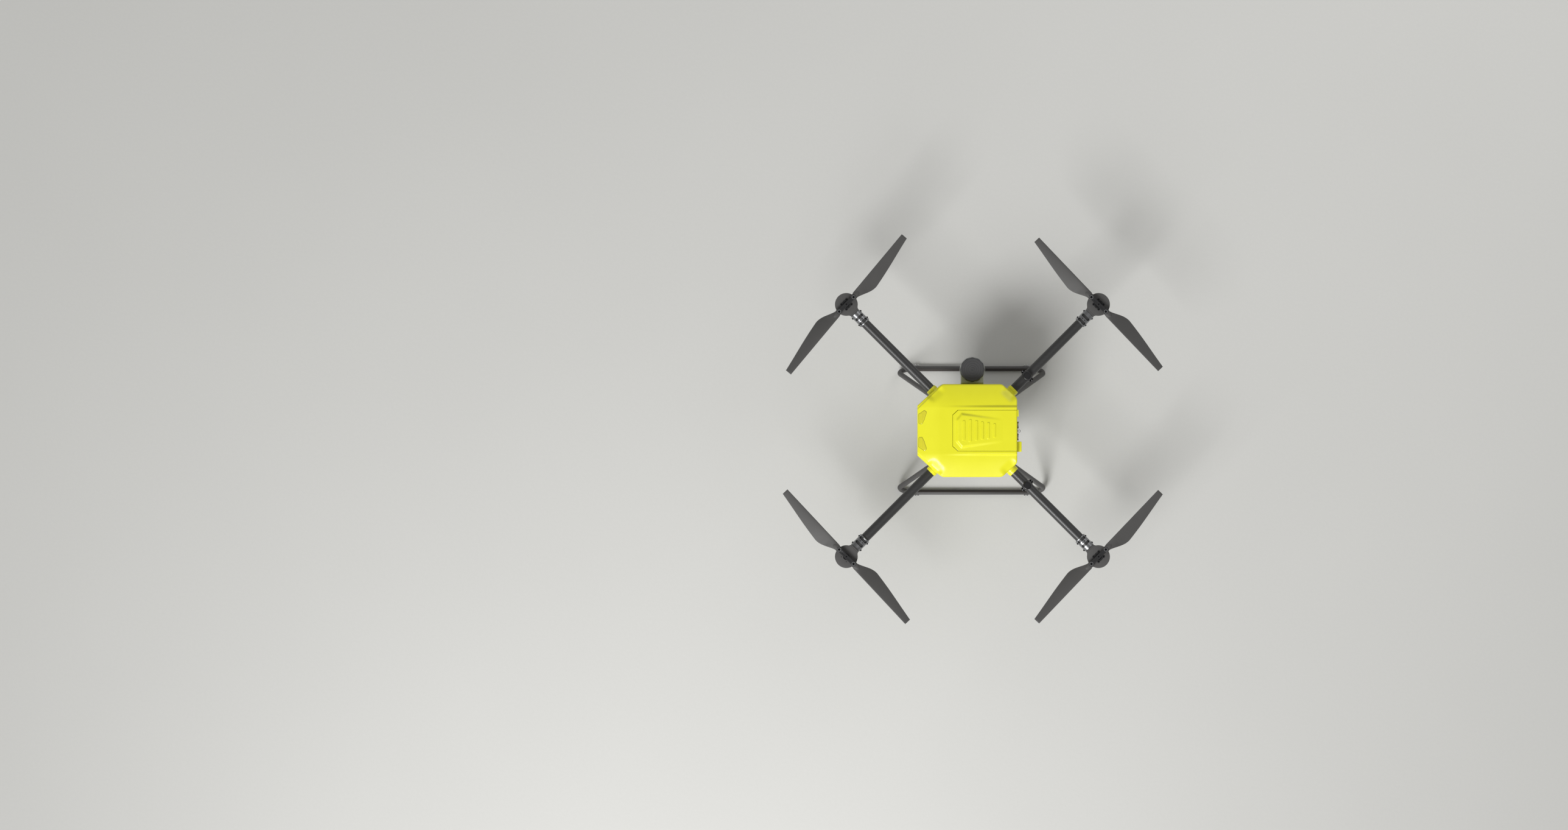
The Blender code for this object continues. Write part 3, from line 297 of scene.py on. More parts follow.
def meshOf(name, shape, sharp=34):
    bm = bmesh.new()
    points = [bm.verts.new(point) for point in shape.points]
    for face in shape.faces:
        bm.faces.new([points[i] for i in face])
    bmesh.ops.recalc_face_normals(bm, faces=bm.faces)
    return meshFrom(bm, name, sharp)


def piece(name, mesh, finishName, body, matrix=Matrix(), replaced=()):
    own = mesh.copy()
    own.materials.clear()
    own.materials.append(materials[finishName])
    made = linked(name, own)
    made.matrix_world = matrix
    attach(made, body)
    if replaced:
        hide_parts(*replaced)
    return made


def loft(rings, caps=(True, True), wrap=False):
    count = len(rings[0])
    rows = len(rings)
    faces = []
    for row in range(rows if wrap else rows - 1):
        after = (row + 1) % rows
        for i in range(count):
            j = (i + 1) % count
            faces.append((row * count + i, row * count + j, after * count + j, after * count + i))
    if caps[0] and not wrap:
        faces.append(range(count - 1, -1, -1))
    if caps[1] and not wrap:
        faces.append(range((rows - 1) * count, rows * count))
    return Shape([point for ring in rings for point in ring], faces)


def circle(radius, height=0.0, sides=48):
    angles = [2 * math.pi * (k + 0.5) / sides for k in range(sides)]
    return [(*polar(radius, a), height) for a in angles]


# a profile of (radius, height) turned about Z
def lathe(profile, sides=48, wrap=False):
    return loft([circle(radius, height, sides) for radius, height in profile], wrap=wrap)


def inset(outline, amount):
    points = []
    for i, here in enumerate(outline):
        here = Vector(here)
        first = (here - Vector(outline[i - 1])).normalized()
        second = (Vector(outline[(i + 1) % len(outline)]) - here).normalized()
        normal = Vector((-first.y, first.x))
        middle = (normal + Vector((-second.y, second.x))).normalized()
        points.append(tuple(here + middle * (amount / max(middle.dot(normal), 0.3))))
    return points


def rounded(corners, radii, steps=6):
    points = []
    for i, (corner, radius) in enumerate(zip(corners, radii)):
        here = Vector(corner)
        before = (Vector(corners[i - 1]) - here).normalized()
        after = (Vector(corners[(i + 1) % len(corners)]) - here).normalized()
        if radius == 0:
            points.append(tuple(here))
            continue
        half = before.angle(after) / 2
        reach = radius / math.tan(half)
        centre = here + (before + after).normalized() * (radius / math.sin(half))
        start = here + before * reach - centre
        sweep = start.angle_signed(here + after * reach - centre)
        points += [tuple(centre + Matrix.Rotation(-sweep * k / steps, 2) @ start) for k in range(steps + 1)]
    return points


def rectangle(lowX, lowY, highX, highY, radius, steps=6):
    return rounded([(lowX, lowY), (highX, lowY), (highX, highY), (lowX, highY)], [radius] * 4, steps)


# an outline raised from low to high with rounded rims; grooves are heights where it is drawn in
def pillow(outline, low, high, edge, steps=4, caps=(True, True), grooves=(), groove=0.0015):
    rings = []
    for k in range(steps + 1):
        a = math.pi / 2 * k / steps
        rings.append((edge * (1 - math.sin(a)), low + edge * (1 - math.cos(a))))
    for height in grooves:
        for along, depth in ((-2, 0), (-1, 0.7), (0, 1), (1, 0.7), (2, 0)):
            rings.append((groove * depth, height + along * groove))
    for k in range(steps, -1, -1):
        a = math.pi / 2 * k / steps
        rings.append((edge * (1 - math.sin(a)), high - edge * (1 - math.cos(a))))
    return loft([[(x, y, height) for x, y in inset(outline, amount)] for amount, height in rings], caps)


# the first mesh less, or joined with, each tool
def cut(mesh, tools, kind="DIFFERENCE", sharp=34):
    work = linked("work", mesh)
    made = [work]
    for tool in tools:
        cutter = linked("cutter", meshOf("cutter", tool))
        modifier = work.modifiers.new("cut", "BOOLEAN")
        modifier.operation = kind
        modifier.solver = "EXACT"
        modifier.object = cutter
        made.append(cutter)
    result = bpy.data.meshes.new_from_object(work.evaluated_get(bpy.context.evaluated_depsgraph_get()))
    for item in made:
        bpy.data.objects.remove(item, do_unlink=True)
    return smooth(result, sharp)


# a copy of a CAD node with softened edges
def softened(node, finishName, body, width, sharp=34):
    bm = bmesh.new()
    bm.from_mesh(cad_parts[node].data)
    bmesh.ops.remove_doubles(bm, verts=bm.verts, dist=1e-6)
    bmesh.ops.dissolve_limit(bm, angle_limit=math.radians(0.4), verts=bm.verts, edges=bm.edges)
    made = piece(node + ".soft", meshFrom(bm, node, sharp), finishName, body, replaced=(node,))
    bevel = made.modifiers.new("edges", "BEVEL")
    bevel.width = width
    bevel.segments = 2
    bevel.limit_method = "ANGLE"
    bevel.angle_limit = math.radians(38)
    bevel.harden_normals = False
    return made


def tubeAlong(points, radius, sides=32):
    rings = []
    across = None
    for i, point in enumerate(points):
        ahead = (points[min(i + 1, len(points) - 1)] - points[max(i - 1, 0)]).normalized()
        if across is None:
            across = Vector((-ahead.y, ahead.x, 0))
        across = (across - ahead * across.dot(ahead)).normalized()
        other = ahead.cross(across)
        angles = [2 * math.pi * (k + 0.5) / sides for k in range(sides)]
        rings.append([point + (across * math.cos(a) + other * math.sin(a)) * radius for a in angles])
    return loft(rings)


# a cap screw standing on Z = 0 with a socket in its head
def screw(radius, height):
    socket = radius * 0.5
    return lathe([
        (radius, 0), (radius, height * 0.75), (radius * 0.93, height), (socket, height),
        (socket, height * 0.85)
    ], 24)


def washer(outer, inner, height):
    edge = height * 0.3
    return lathe([
        (inner, 0), (outer, 0), (outer, height - edge), (outer - edge, height), (inner, height)
    ], 36, wrap=True)


def eased(t):
    t = min(1.0, max(0.0, t))
    return t * t * (3 - 2 * t)


# arms: heights are measured from the arm's middle, and pods from their motor's axis towards the body
armSize = {
    "height": 0.398, "reach": 0.7594, "start": 0.100, "tubeRadius": 0.0199, "tubeWall": 0.002,
    "azimuths": {"front_right": 135, "front_left": 225, "rear_right": 45, "rear_left": 315},
}
podSize = {"radius": 0.0485, "neck": 0.0215, "seam": 0.053, "low": -0.034, "split": 0.0277, "high": 0.032}


def podOutline():
    radius, neck, seam = podSize["radius"], podSize["neck"], podSize["seam"]
    fillet = (seam**2 - radius**2 + neck**2) / (2 * (radius - neck))
    meet = math.atan2(neck + fillet, seam)
    angles = [meet + (2 * math.pi - 2 * meet) * k / 72 for k in range(73)]
    points = [polar(radius, a) for a in angles]
    lower = []
    for k in range(1, 9):
        a = math.pi / 2 + (math.pi / 2 - meet) * (1 - k / 8)
        lower.append((seam + fillet * math.cos(a), -neck - fillet + fillet * math.sin(a)))
    return points + lower + [(x, -y) for x, y in reversed(lower)]


# the four screws round the motor's shaft
lobePlaces = [turn(45 + 90 * k) @ shift(0.021, 0, 0) for k in range(4)]


def coverMesh(bare):
    plate = meshOf("cover", pillow(podOutline(), podSize["split"] + 0.0004, podSize["high"], 0.0012))
    tools = [lathe([(0.014, 0), (0.014, 0.05)])]
    if bare:
        tools += [Shape().add(lathe([(0.0018, 0), (0.0018, 0.05)], 16), place) for place in lobePlaces]
    return cut(plate, tools)


# a ring with four screw lobes and long windows between them
def retainerMesh():
    plate = lathe([(0.0195, 0.0318), (0.0195, 0.0342), (0.0188, 0.0348)], 72)
    lobe = lathe([(0.0055, 0.0318), (0.0055, 0.0342), (0.0049, 0.0348)], 24)
    lobes = [Shape().add(lobe, place) for place in lobePlaces]
    ring = cut(meshOf("ring", plate), lobes, "UNION")
    tools = [lathe([(0.0135, 0), (0.0135, 0.05)])]
    slot = pillow(rectangle(-0.0014, -0.0052, 0.0014, 0.0052, 0.0013), 0.0335, 0.05, 0.0001, 1)
    tools += [Shape().add(slot, turn(90 * k) @ shift(0.0166, 0, 0)) for k in range(4)]
    return cut(ring, tools)


clampSize = {"start": 0.0533, "end": 0.113, "radius": 0.0235, "flange": 0.0254, "bore": 0.0203,
             "windows": (0.0775, 0.1015), "windowWidth": 0.0115, "windowSpan": 0.039}


def clampMesh():
    s = clampSize
    start, end, radius, rim = s["start"], s["end"], s["radius"], s["flange"]
    profile = [
        (s["bore"], start), (radius - 0.0008, start), (radius, start + 0.0008), (radius, end - 0.0060),
        (radius + 0.0006, end - 0.0045), (rim - 0.0006, end - 0.0045), (rim, end - 0.0039),
        (rim, end - 0.0006), (rim - 0.0006, end), (s["bore"], end),
    ]
    sleeve = Shape().add(lathe(profile, 64, wrap=True), turn(90, "Y"))
    tools = []
    for place in s["windows"]:
        half, span = s["windowWidth"] / 2, s["windowSpan"] / 2
        window = rectangle(place - half, -span, place + half, span, half * 0.95)
        tools.append(pillow(window, 0.002, 0.06, 0.0001, 1))
        tools.append(pillow(window, -0.06, -0.002, 0.0001, 1))
    return cut(meshOf("sleeve", sleeve), tools)


def clampScrews():
    shape = Shape()
    for side in (-1, 1):
        facing = turn(-90 * side, "X")
        for place in (0.0625, 0.1015):
            shape.add(screw(0.0038, 0.0042), shift(place, side * 0.0229, 0) @ facing)
        shape.add(screw(0.0022, 0.0016), shift(0.0896, side * 0.006, 0) @ shift(0, 0, 0.0221))
    return shape


def tubeMesh():
    outer, inner = armSize["tubeRadius"], armSize["tubeRadius"] - armSize["tubeWall"]
    start, end = armSize["start"], armSize["reach"] - podSize["seam"] - 0.003
    tube = lathe([(inner, start), (outer, start), (outer, end), (inner, end)], 64, wrap=True)
    return Shape().add(tube, turn(90, "Y"))


def nozzleMesh():
    top = -0.0343
    steps = [
        (0.0150, 0.0), (0.0156, 0.0010), (0.0156, 0.0035), (0.0130, 0.0045), (0.0062, 0.0052),
        (0.0062, 0.0400), (0.0090, 0.0410), (0.0112, 0.0440), (0.0119, 0.0460), (0.0119, 0.0580),
        (0.0108, 0.0586), (0.0108, 0.0600), (0.0119, 0.0606), (0.0119, 0.0690), (0.0112, 0.0712),
        (0.0098, 0.0726), (0.0098, 0.0770), (0.0072, 0.0800), (0.0044, 0.0812), (0.0042, 0.0872),
        (0.0036, 0.0878),
    ]
    body = lathe([(radius, top - drop) for radius, drop in steps], 40)
    for k in range(12):
        grip = pillow(rectangle(-0.0008, -0.0008, 0.0008, 0.0008, 0.0003, 2), top - 0.0690, top - 0.0612,
                      0.0003, 1)
        body.add(grip, turn(30 * k) @ shift(0.0117, 0, 0))
    return body


# propellers: distances along a blade are from its pivot, and hand is +1 where +Y leads
rotorSize = {
    "pivot": 0.0433, "hubHigh": 0.0537, "bladeHeight": 0.0470,
    "bars": {"front_right": (45, 5.1, 1), "front_left": (-45, 1.9, -1), "rear_right": (-45, 1.3, -1),
             "rear_left": (45, 1.3, 1)},
}
bladeSize = {"flat": 0.0115, "rootRadius": 0.013, "thick": 0.0076, "lead": 0.0144, "tip": 0.3375,
             "tipWidth": 0.0279, "tipThick": 0.0018, "chord": 0.0607, "widest": 0.097, "pitch": 0.254,
             "mostPitch": 17.0}


def trailingEdge(x):
    s = bladeSize
    wide, tip = s["chord"] - s["lead"], s["tipWidth"] - s["lead"]
    if x < s["widest"]:
        t = (x - s["flat"]) / (s["widest"] - s["flat"])
        return s["rootRadius"] + (wide - s["rootRadius"]) * (t + 0.28 * math.sin(math.pi * t) * t)
    t = (x - s["widest"]) / (s["tip"] - s["widest"])
    return wide + (tip - wide) * (t - 0.10 * math.sin(math.pi * t) * (1 - t))


def bladeRing(x, hand, squeeze=1.0):
    s = bladeSize
    lead, trail = s["lead"] * (1 - 0.06 * (1 - squeeze)), -trailingEdge(x)
    along = (x - s["flat"]) / (s["tip"] - s["flat"])
    thick = (s["thick"] * 0.9 + (s["tipThick"] - s["thick"] * 0.9) * along**0.6) * 0.62 * squeeze
    pitch = math.atan(s["pitch"] / (2 * math.pi * (rotorSize["pivot"] + x)))
    pitch = min(pitch, math.radians(s["mostPitch"])) * min(1.0, (x - s["flat"]) / 0.045)
    shares = [0.5 - 0.5 * math.cos(math.pi * k / 14) for k in range(15)]
    points = [(lead - t * (lead - trail),
               2.2 * thick * t**0.5 * (1 - t) ** 0.85 + 0.08 * thick) for t in shares]
    points += [(lead - t * (lead - trail), -0.75 * thick * t**0.4 * (1 - t) ** 0.6 - 0.08 * thick)
               for t in reversed(shares[1:-1])]
    return [(x, hand * y, z + y * math.tan(pitch)) for y, z in points]


def bladeMesh(hand):
    s = bladeSize
    places = [s["flat"] + (s["tip"] - s["flat"]) * (k / 44) ** 1.15 for k in range(44)]
    rings = [bladeRing(x, hand) for x in places]
    rings += [bladeRing(s["tip"] - 0.0008, hand, 0.85), bladeRing(s["tip"], hand, 0.4)]
    wing = loft(rings)
    radius, half = s["rootRadius"], s["thick"] / 2
    angles = [math.radians(a) for a in range(90, 271, 9)]
    outline = [polar(radius, a) for a in angles] + [(0.0135, -radius), (0.0135, radius)]
    wing.add(pillow(outline, -half, half, 0.0008, 2))
    dome = []
    for k in range(7):
        rise = math.pi / 2 * k / 7
        dome.append([(0.0115 + 0.0245 * math.cos(rise) * math.cos(a), 0.0122 * math.cos(rise) * math.sin(a),
                      0.0010 + 0.0050 * math.sin(rise)) for a in (2 * math.pi * j / 32 for j in range(32))])
    return wing.add(loft(dome))


def hubScrews():
    shape = Shape()
    for place, radius in ((-rotorSize["pivot"], 0.0055), (rotorSize["pivot"], 0.0055), (0.0, 0.0030)):
        shape.add(screw(radius, 0.0016), shift(place, 0, rotorSize["hubHigh"]))
    return shape


def buildArms():
    bodyMesh = meshOf("podBody", pillow(podOutline(), podSize["low"], podSize["split"], 0.0045,
                                        caps=(True, False)))
    covers = {bare: coverMesh(bare) for bare in (False, True)}
    meshes = {
        "retainer": retainerMesh(),
        "retainerScrews": meshOf("retainerScrews", joined(
            [(screw(0.0030, 0.0012), place @ shift(0, 0, 0.0346)) for place in lobePlaces])),
        # black strips across the pod's neck: painted shade standing in for a groove and for the gap between pod
        # and clamp
        "seam": meshOf("seam", joined([
            (pillow(rectangle(0.0466, -0.0205, 0.0472, 0.0205, 0.0002, 1), 0.0318, 0.0322, 0.0001, 1),
             Matrix()),
            (pillow(rectangle(0.0528, -0.0212, 0.0534, 0.0212, 0.0002, 1), -0.020, 0.0316, 0.0001, 1),
             Matrix()),
        ])),
        "clamp": clampMesh(),
        "clampScrews": meshOf("clampScrews", clampScrews()),
        "tube": meshOf("tube", tubeMesh()),
        "nozzle": meshOf("nozzle", nozzleMesh()),
        "washers": meshOf("washers", joined(
            [(washer(0.0082, 0.0050, 0.0007), shift(side * rotorSize["pivot"], 0, rotorSize["hubHigh"]))
             for side in (-1, 1)])),
        "hubScrews": meshOf("hubScrews", hubScrews()),
        "blades": {hand: meshOf("blade", bladeMesh(hand), 40) for hand in (1, -1)},
    }
    for corner, azimuth in armSize["azimuths"].items():
        arm = shift(0, 0, armSize["height"]) @ turn(azimuth)
        pod = arm @ shift(armSize["reach"], 0, 0) @ turn(180)
        bare = corner == "front_left"
        air = "airframe"
        piece(corner + ".armTube", meshes["tube"], "armCarbon", air, arm, (corner + "_arm_tube",))
        piece(corner + ".podBody", bodyMesh, "podPlastic", air, pod, (corner + "_pod_body",))
        piece(corner + ".podCover", covers[bare], "podPlastic", air, pod, (corner + "_pod_cover",))
        # painted shade: black strips in the pod's groove and in its gap to the clamp
        piece(corner + ".seam", meshes["seam"], "blackRubberAndShade", air, pod)
        if not bare:
            piece(corner + ".retainer", meshes["retainer"], "hubBlack", air, pod)
            piece(corner + ".retainerScrews", meshes["retainerScrews"], "screwBlack", air, pod)
        piece(corner + ".clamp", meshes["clamp"], "clampAluminium", air, pod,
              (corner + "_tube_clamp",))
        piece(corner + ".clampScrews", meshes["clampScrews"], "screwBlack", air, pod)
        piece(corner + ".nozzle", meshes["nozzle"], "blackPlastic", air, pod,
              (corner + "_spray_nozzle",))
        bar, lead, hand = rotorSize["bars"][corner]
        motor = arm @ shift(armSize["reach"], 0, 0) @ turn(-azimuth)
        rotor = motor @ turn(bar)
        spinning = corner + "_rotor"
        softened(corner + "_prop_hub", "hubBlack", spinning, 0.0004)
        piece(corner + ".washers", meshes["washers"], "screwSteel", spinning, rotor)
        piece(corner + ".hubScrews", meshes["hubScrews"], "screwBlack", spinning, rotor)
        for letter, side in (("a", 1), ("b", -1)):
            angle = (0 if side > 0 else 180) + hand * lead
            place = rotor @ shift(side * rotorSize["pivot"], 0, rotorSize["bladeHeight"]) @ turn(angle)
            node = f"{corner}_blade_{letter}"
            own = meshes["blades"][hand].copy()
            own.transform(place)
            piece(node + ".full", own, "bladeGrey", node, replaced=(node,))


def joined(parts):
    shape = Shape()
    for part, matrix in parts:
        shape.add(part, matrix)
    return shape


buildArms()
print("stage: arms and propellers built")


# body: one skin of heights over the plan, from which the shell and the hatch are both taken
shellSize = {
    "nose": 0.235, "tail": 0.190, "half": 0.198, "noseHalf": 0.106, "noseCorner": (0.187, 0.150),
    "sideFront": 0.131, "sideRear": 0.126, "tailHalf": 0.139, "round": 0.028, "split": 0.428, "top": 0.500,
    "edge": 0.006, "bandHalf": 0.098, "bandSlope": 0.010, "bandStep": 0.008, "sideDrop": 0.022,
    "noseSlope": 0.100, "noseDrop": 0.024, "scoop": 0.010, "cornerStep": 0.006, "wall": 0.0026,
}
hatchSize = {
    "front": -0.0855, "half": 0.088, "chamfer": (0.023, 0.021), "gap": 0.0011, "lip": 0.012,
    "bumpFront": -0.073, "bumpRear": 0.132, "frontHalf": 0.077, "rearHalf": 0.052, "corner": 0.030,
    "flare": 0.012, "rise": 0.009, "ribRise": 0.0022, "ribWidth": 0.013,
    "ribs": ((-0.037, 0.088), (-0.010, 0.098), (0.016, 0.088), (0.041, 0.078), (0.067, 0.071),
             (0.093, 0.062)),
}


def mirrored(half):
    return [(x, -y) for x, y in half] + [(x, y) for x, y in reversed(half)]


def bodyOutline(amount=0.0):
    s = shellSize
    half = [(-s["nose"], s["noseHalf"]), (-s["noseCorner"][0], s["noseCorner"][1]),
            (-s["sideFront"], s["half"]), (s["sideRear"], s["half"]), (s["tail"], s["tailHalf"])]
    radii = [max(r - amount, r * 0.3) for r in (0.006, 0.010, s["round"], s["round"], s["round"])]
    return rounded(inset(mirrored(half), amount), radii + radii[::-1], 10)


def within(outline, x, y):
    best = 1.0
    for i, (ax, ay) in enumerate(outline):
        bx, by = outline[(i + 1) % len(outline)]
        length = math.hypot(bx - ax, by - ay)
        if length > 1e-6:
            best = min(best, ((bx - ax) * (y - ay) - (by - ay) * (x - ax)) / length)
    return best


def hatchOutline(clearance):
    s = hatchSize
    front, half = s["front"] + clearance, s["half"] - clearance
    long, wide = s["chamfer"]
    return mirrored([(front, half - wide), (front + long, half), (shellSize["tail"] + 0.01, half)])


def ribOutline(place, length, amount=0.0):
    half, reach = length / 2 - amount, hatchSize["ribWidth"] / 2 - amount
    return rectangle(place - reach, -half, place + reach, half, reach * 0.9)


def bumpFoot():
    s = hatchSize
    return mirrored([(s["bumpFront"], s["frontHalf"] - s["corner"]),
                     (s["bumpFront"] + s["corner"] * 0.8, s["frontHalf"]), (s["bumpRear"], s["rearHalf"])])


plan = bodyOutline()
opening = hatchOutline(0.0)
panelPlan = hatchOutline(hatchSize["gap"])
foot = bumpFoot()


def roundOff(depth, radius):
    if depth >= radius:
        return 0.0
    short = radius - max(depth, 0.0)
    return radius - math.sqrt(max(radius**2 - short**2, 0.0))


def skinHeight(x, y):
    s, h = shellSize, hatchSize
    nose = min(1.0, max(0.0, (s["noseSlope"] - (s["nose"] + x)) / s["noseSlope"]))
    height = s["top"] - s["noseDrop"] * nose**1.7
    out = abs(y) - s["bandHalf"]
    if out > 0:
        height -= s["bandStep"] * eased((x + 0.16) / 0.30) * eased(out / s["bandSlope"])
        height -= s["sideDrop"] * min(1.3, out / (s["half"] - s["bandHalf"])) ** 1.5
    # dished where each arm leaves the shell
    for azimuth in (45, 135):
        a = math.radians(azimuth)
        side = -1 if azimuth == 135 else 1
        along = side * x * math.sin(a) + abs(y) * math.sin(a)
        if x * side < 0:
            continue
        across = abs(abs(x) - abs(y)) / math.sqrt(2)
        height -= s["scoop"] * eased((along - 0.192) / 0.038) * (1 - eased((across - 0.016) / 0.026))
    # a step down along each front corner
    beyond = (-(x + 0.187) * 0.7007 + (abs(y) - 0.135) * 0.7134)
    height -= s["cornerStep"] * eased(beyond / 0.005)
    height -= roundOff(within(plan, x, y), s["edge"])
    inside = within(panelPlan, x, y)
    if inside > 0:
        raised = within(foot, x, y)
        if raised > 0:
            share = (h["bumpRear"] - x) / (h["bumpRear"] - h["bumpFront"])
            height += h["rise"] * share * eased(raised / h["flare"])
        for place, length in h["ribs"]:
            if abs(x - place) < h["ribWidth"]:
                deep = within(ribOutline(place, length), x, y)
                height += h["ribRise"] * eased(deep / 0.0020)
        height -= roundOff(inside, 0.0012)
    else:
        height -= roundOff(-within(opening, x, y), 0.0012)
    return height


def skinMesh():
    loops = [bodyOutline(amount) for amount in (0.0, 0.0004, 0.0012, 0.0024, 0.0040, 0.0060, 0.0100)]
    loops += [hatchOutline(amount) for amount in (-0.0012, -0.0004, 0.0, 0.0011, 0.0015, 0.0023)]
    loops += [inset(foot, amount) for amount in (0.0, 0.003, 0.006, 0.009, 0.012)]
    for place, length in hatchSize["ribs"]:
        loops += [ribOutline(place, length, amount) for amount in (0.0, 0.0008, 0.0018, 0.0028)]
    for side in (-1, 1):
        for y in (0.098, 0.1005, 0.103, 0.1055, 0.108):
            loops.append([(-0.24, side * y), (0.20, side * y)])
        for away in (0.0, 0.0017, 0.0034, 0.005):
            loops.append([(-0.187 - 0.06 - away * 0.7, side * (0.135 - 0.059 + away * 0.713)),
                          (-0.187 + 0.075 - away * 0.7, side * (0.135 + 0.0737 + away * 0.713))])
    points, edges = [], []
    for loop in loops:
        dense = []
        closed = len(loop) > 2
        for i in range(len(loop) if closed else len(loop) - 1):
            a, b = Vector(loop[i]), Vector(loop[(i + 1) % len(loop)])
            parts = max(1, round((b - a).length / 0.005))
            dense += [a.lerp(b, k / parts) for k in range(parts)]
        if not closed:
            dense.append(Vector(loop[-1]))
        base = len(points)
        points += dense
        edges += [(base + k, base + k + 1) for k in range(len(dense) - 1)]
        if closed:
            edges.append((base + len(dense) - 1, base))
    for i in range(89):
        for j in range(81):
            spot = Vector((-0.238 + i * 0.005 + (j % 2) * 0.0025, -0.2 + j * 0.005))
            if within(plan, *spot) > 0.012:
                points.append(spot)
    found = delaunay_2d_cdt(points, edges, [], 0, 1e-5)
    return found[0], found[2]


def sheet(name, keep, skirt):
    bm = bmesh.new()
    made = {}
    for face in skinFaces:
        middle = sum((skinPoints[i] for i in face), Vector((0, 0))) / len(face)
        if keep(*middle):
            corners = []
            for i in face:
                if i not in made:
                    x, y = skinPoints[i]
                    made[i] = bm.verts.new((x, y, skinHeight(x, y)))
                corners.append(made[i])
            bm.faces.new(corners)
    bmesh.ops.recalc_face_normals(bm, faces=bm.faces)
    if sum(face.normal.z for face in bm.faces) < 0:
        bmesh.ops.reverse_faces(bm, faces=bm.faces)
    rim = [edge for edge in bm.edges if edge.is_boundary]
    fresh = bmesh.ops.extrude_edge_only(bm, edges=rim)["geom"]
    for item in fresh:
        if isinstance(item, bmesh.types.BMVert):
            item.co.z = skirt(item.co)
    return meshFrom(bm, name, 40)


def thicken(made):
    solid = made.modifiers.new("wall", "SOLIDIFY")
    solid.thickness = shellSize["wall"]
    solid.offset = -1


skinPoints, skinFaces = skinMesh()
shellMesh = sheet("shell", lambda x, y: within(plan, x, y) > 0 and within(opening, x, y) < 0,
                  lambda co: shellSize["split"] if within(plan, co.x, co.y) < 0.0002 else co.z - 0.004)
thicken(piece("topShell.skin", shellMesh, "shellYellow", "airframe", replaced=("top_shell",)))
panelMesh = sheet("panel", lambda x, y: within(plan, x, y) > 0 and within(panelPlan, x, y) > 0,
                  lambda co: co.z - hatchSize["lip"] if co.x > 0.18 else co.z - 0.004)
thicken(piece("hatch.panel", panelMesh, "shellYellow", "hatch", replaced=("top_hatch",)))
print("stage: skin built", len(skinFaces))


def buildShellParts():
    tail = shellSize["tail"]
    wall = pillow(rectangle(tail - 0.003, -0.092, tail, 0.092, 0.0004, 1), 0.428, 0.4838, 0.0006, 2)
    block = pillow(rectangle(0.180, -0.0905, 0.2088, -0.0467, 0.0035), 0.440, 0.476, 0.0022)
    both = joined([(wall, Matrix()), (block, Matrix())])
    piece("topShell.tail", meshOf("tail", both), "shellYellow", "airframe")
    tab = pillow(rectangle(0.186, 0.059, 0.196, 0.0885, 0.0028), 0.486, 0.4938, 0.0014)
    piece("hatch.tab", meshOf("tab", tab), "shellYellow", "hatch")
    softened("lower_shell", "shellYellow", "airframe", 0.0008)
    collar = lathe([(0.0201, 0.190), (0.0236, 0.190), (0.0236, 0.2490), (0.0229, 0.2516), (0.0215, 0.2520),
                    (0.0201, 0.2520)], 56, wrap=True)
    rim = lathe([(0.0236, 0.2400), (0.0246, 0.2406), (0.0250, 0.2420), (0.0246, 0.2434), (0.0236, 0.2440)],
                56,
                wrap=True)
    collar = Shape().add(collar, turn(90, "Y")).add(rim, turn(90, "Y"))
    mesh = meshOf("collar", collar)
    for corner, azimuth in armSize["azimuths"].items():
        place = shift(0, 0, armSize["height"]) @ turn(azimuth)
        piece(corner + ".collar", mesh, "shellYellow", "airframe", place)


lampSize = {
    "window": ((-0.230, 0.069), (-0.228, 0.0295), (-0.215, 0.0285), (-0.207, 0.044), (-0.196, 0.0785),
               (-0.205, 0.086)),
    "rounds": (0.004, 0.003, 0.003, 0.006, 0.004, 0.004),
    "loop": (-0.224, 0.031, -0.217, 0.072),
}


def buildLamps():
    def ring(outline, rise):
        return [(x, y, skinHeight(x, y) + rise) for x, y in outline]

    for side, name in ((1, "right"), (-1, "left")):
        base = rounded(lampSize["window"], lampSize["rounds"], 5)
        base = [(x, side * y) for x, y in base]
        if side < 0:
            base = base[::-1]
        lens = loft([ring(base, -0.001), ring(base, 0.0002), ring(inset(base, 0.0008), 0.0006),
                     ring(inset(base, 0.0025), 0.0008)])
        piece(name + ".lampLens", meshOf("lens", lens), "lampLens", "airframe")
        edge = loft([ring(inset(base, -0.0010), -0.001), ring(inset(base, -0.0010), 0.0003),
                     ring(inset(base, -0.0002), 0.0003), ring(inset(base, -0.0002), -0.001)], wrap=True)
        piece(name + ".lampSeal", meshOf("seal", edge), "blackRubberAndShade", "airframe")
        lowX, lowY, highX, highY = lampSize["loop"]
        path = [(x, side * y) for x, y in rectangle(lowX, lowY, highX, highY, 0.0033, 8)]
        outer = path if side > 0 else path[::-1]
        loop = loft([ring(outer, 0.0004), ring(outer, 0.0014), ring(inset(outer, 0.0010), 0.0014),
                     ring(inset(outer, 0.0010), 0.0004)], wrap=True)
        piece(name + ".lampLoop", meshOf("loop", loop), "shellYellow", "airframe")


# latch: runs of the bar measured from its middle, each with its finish and how thick it is drawn
latchSize = {
    "x": 0.19318, "middle": -0.002, "height": 0.472, "radius": 0.00282, "tall": 2.8,
    "runs": ((0.0335, 0.0400, "blackPlastic", 0.92), (0.0295, 0.0335, "brass", 0.80),
             (0.0210, 0.0285, "screwSteel", 1.0), (0.0108, 0.0205, "blackPlastic", 0.9)),
}


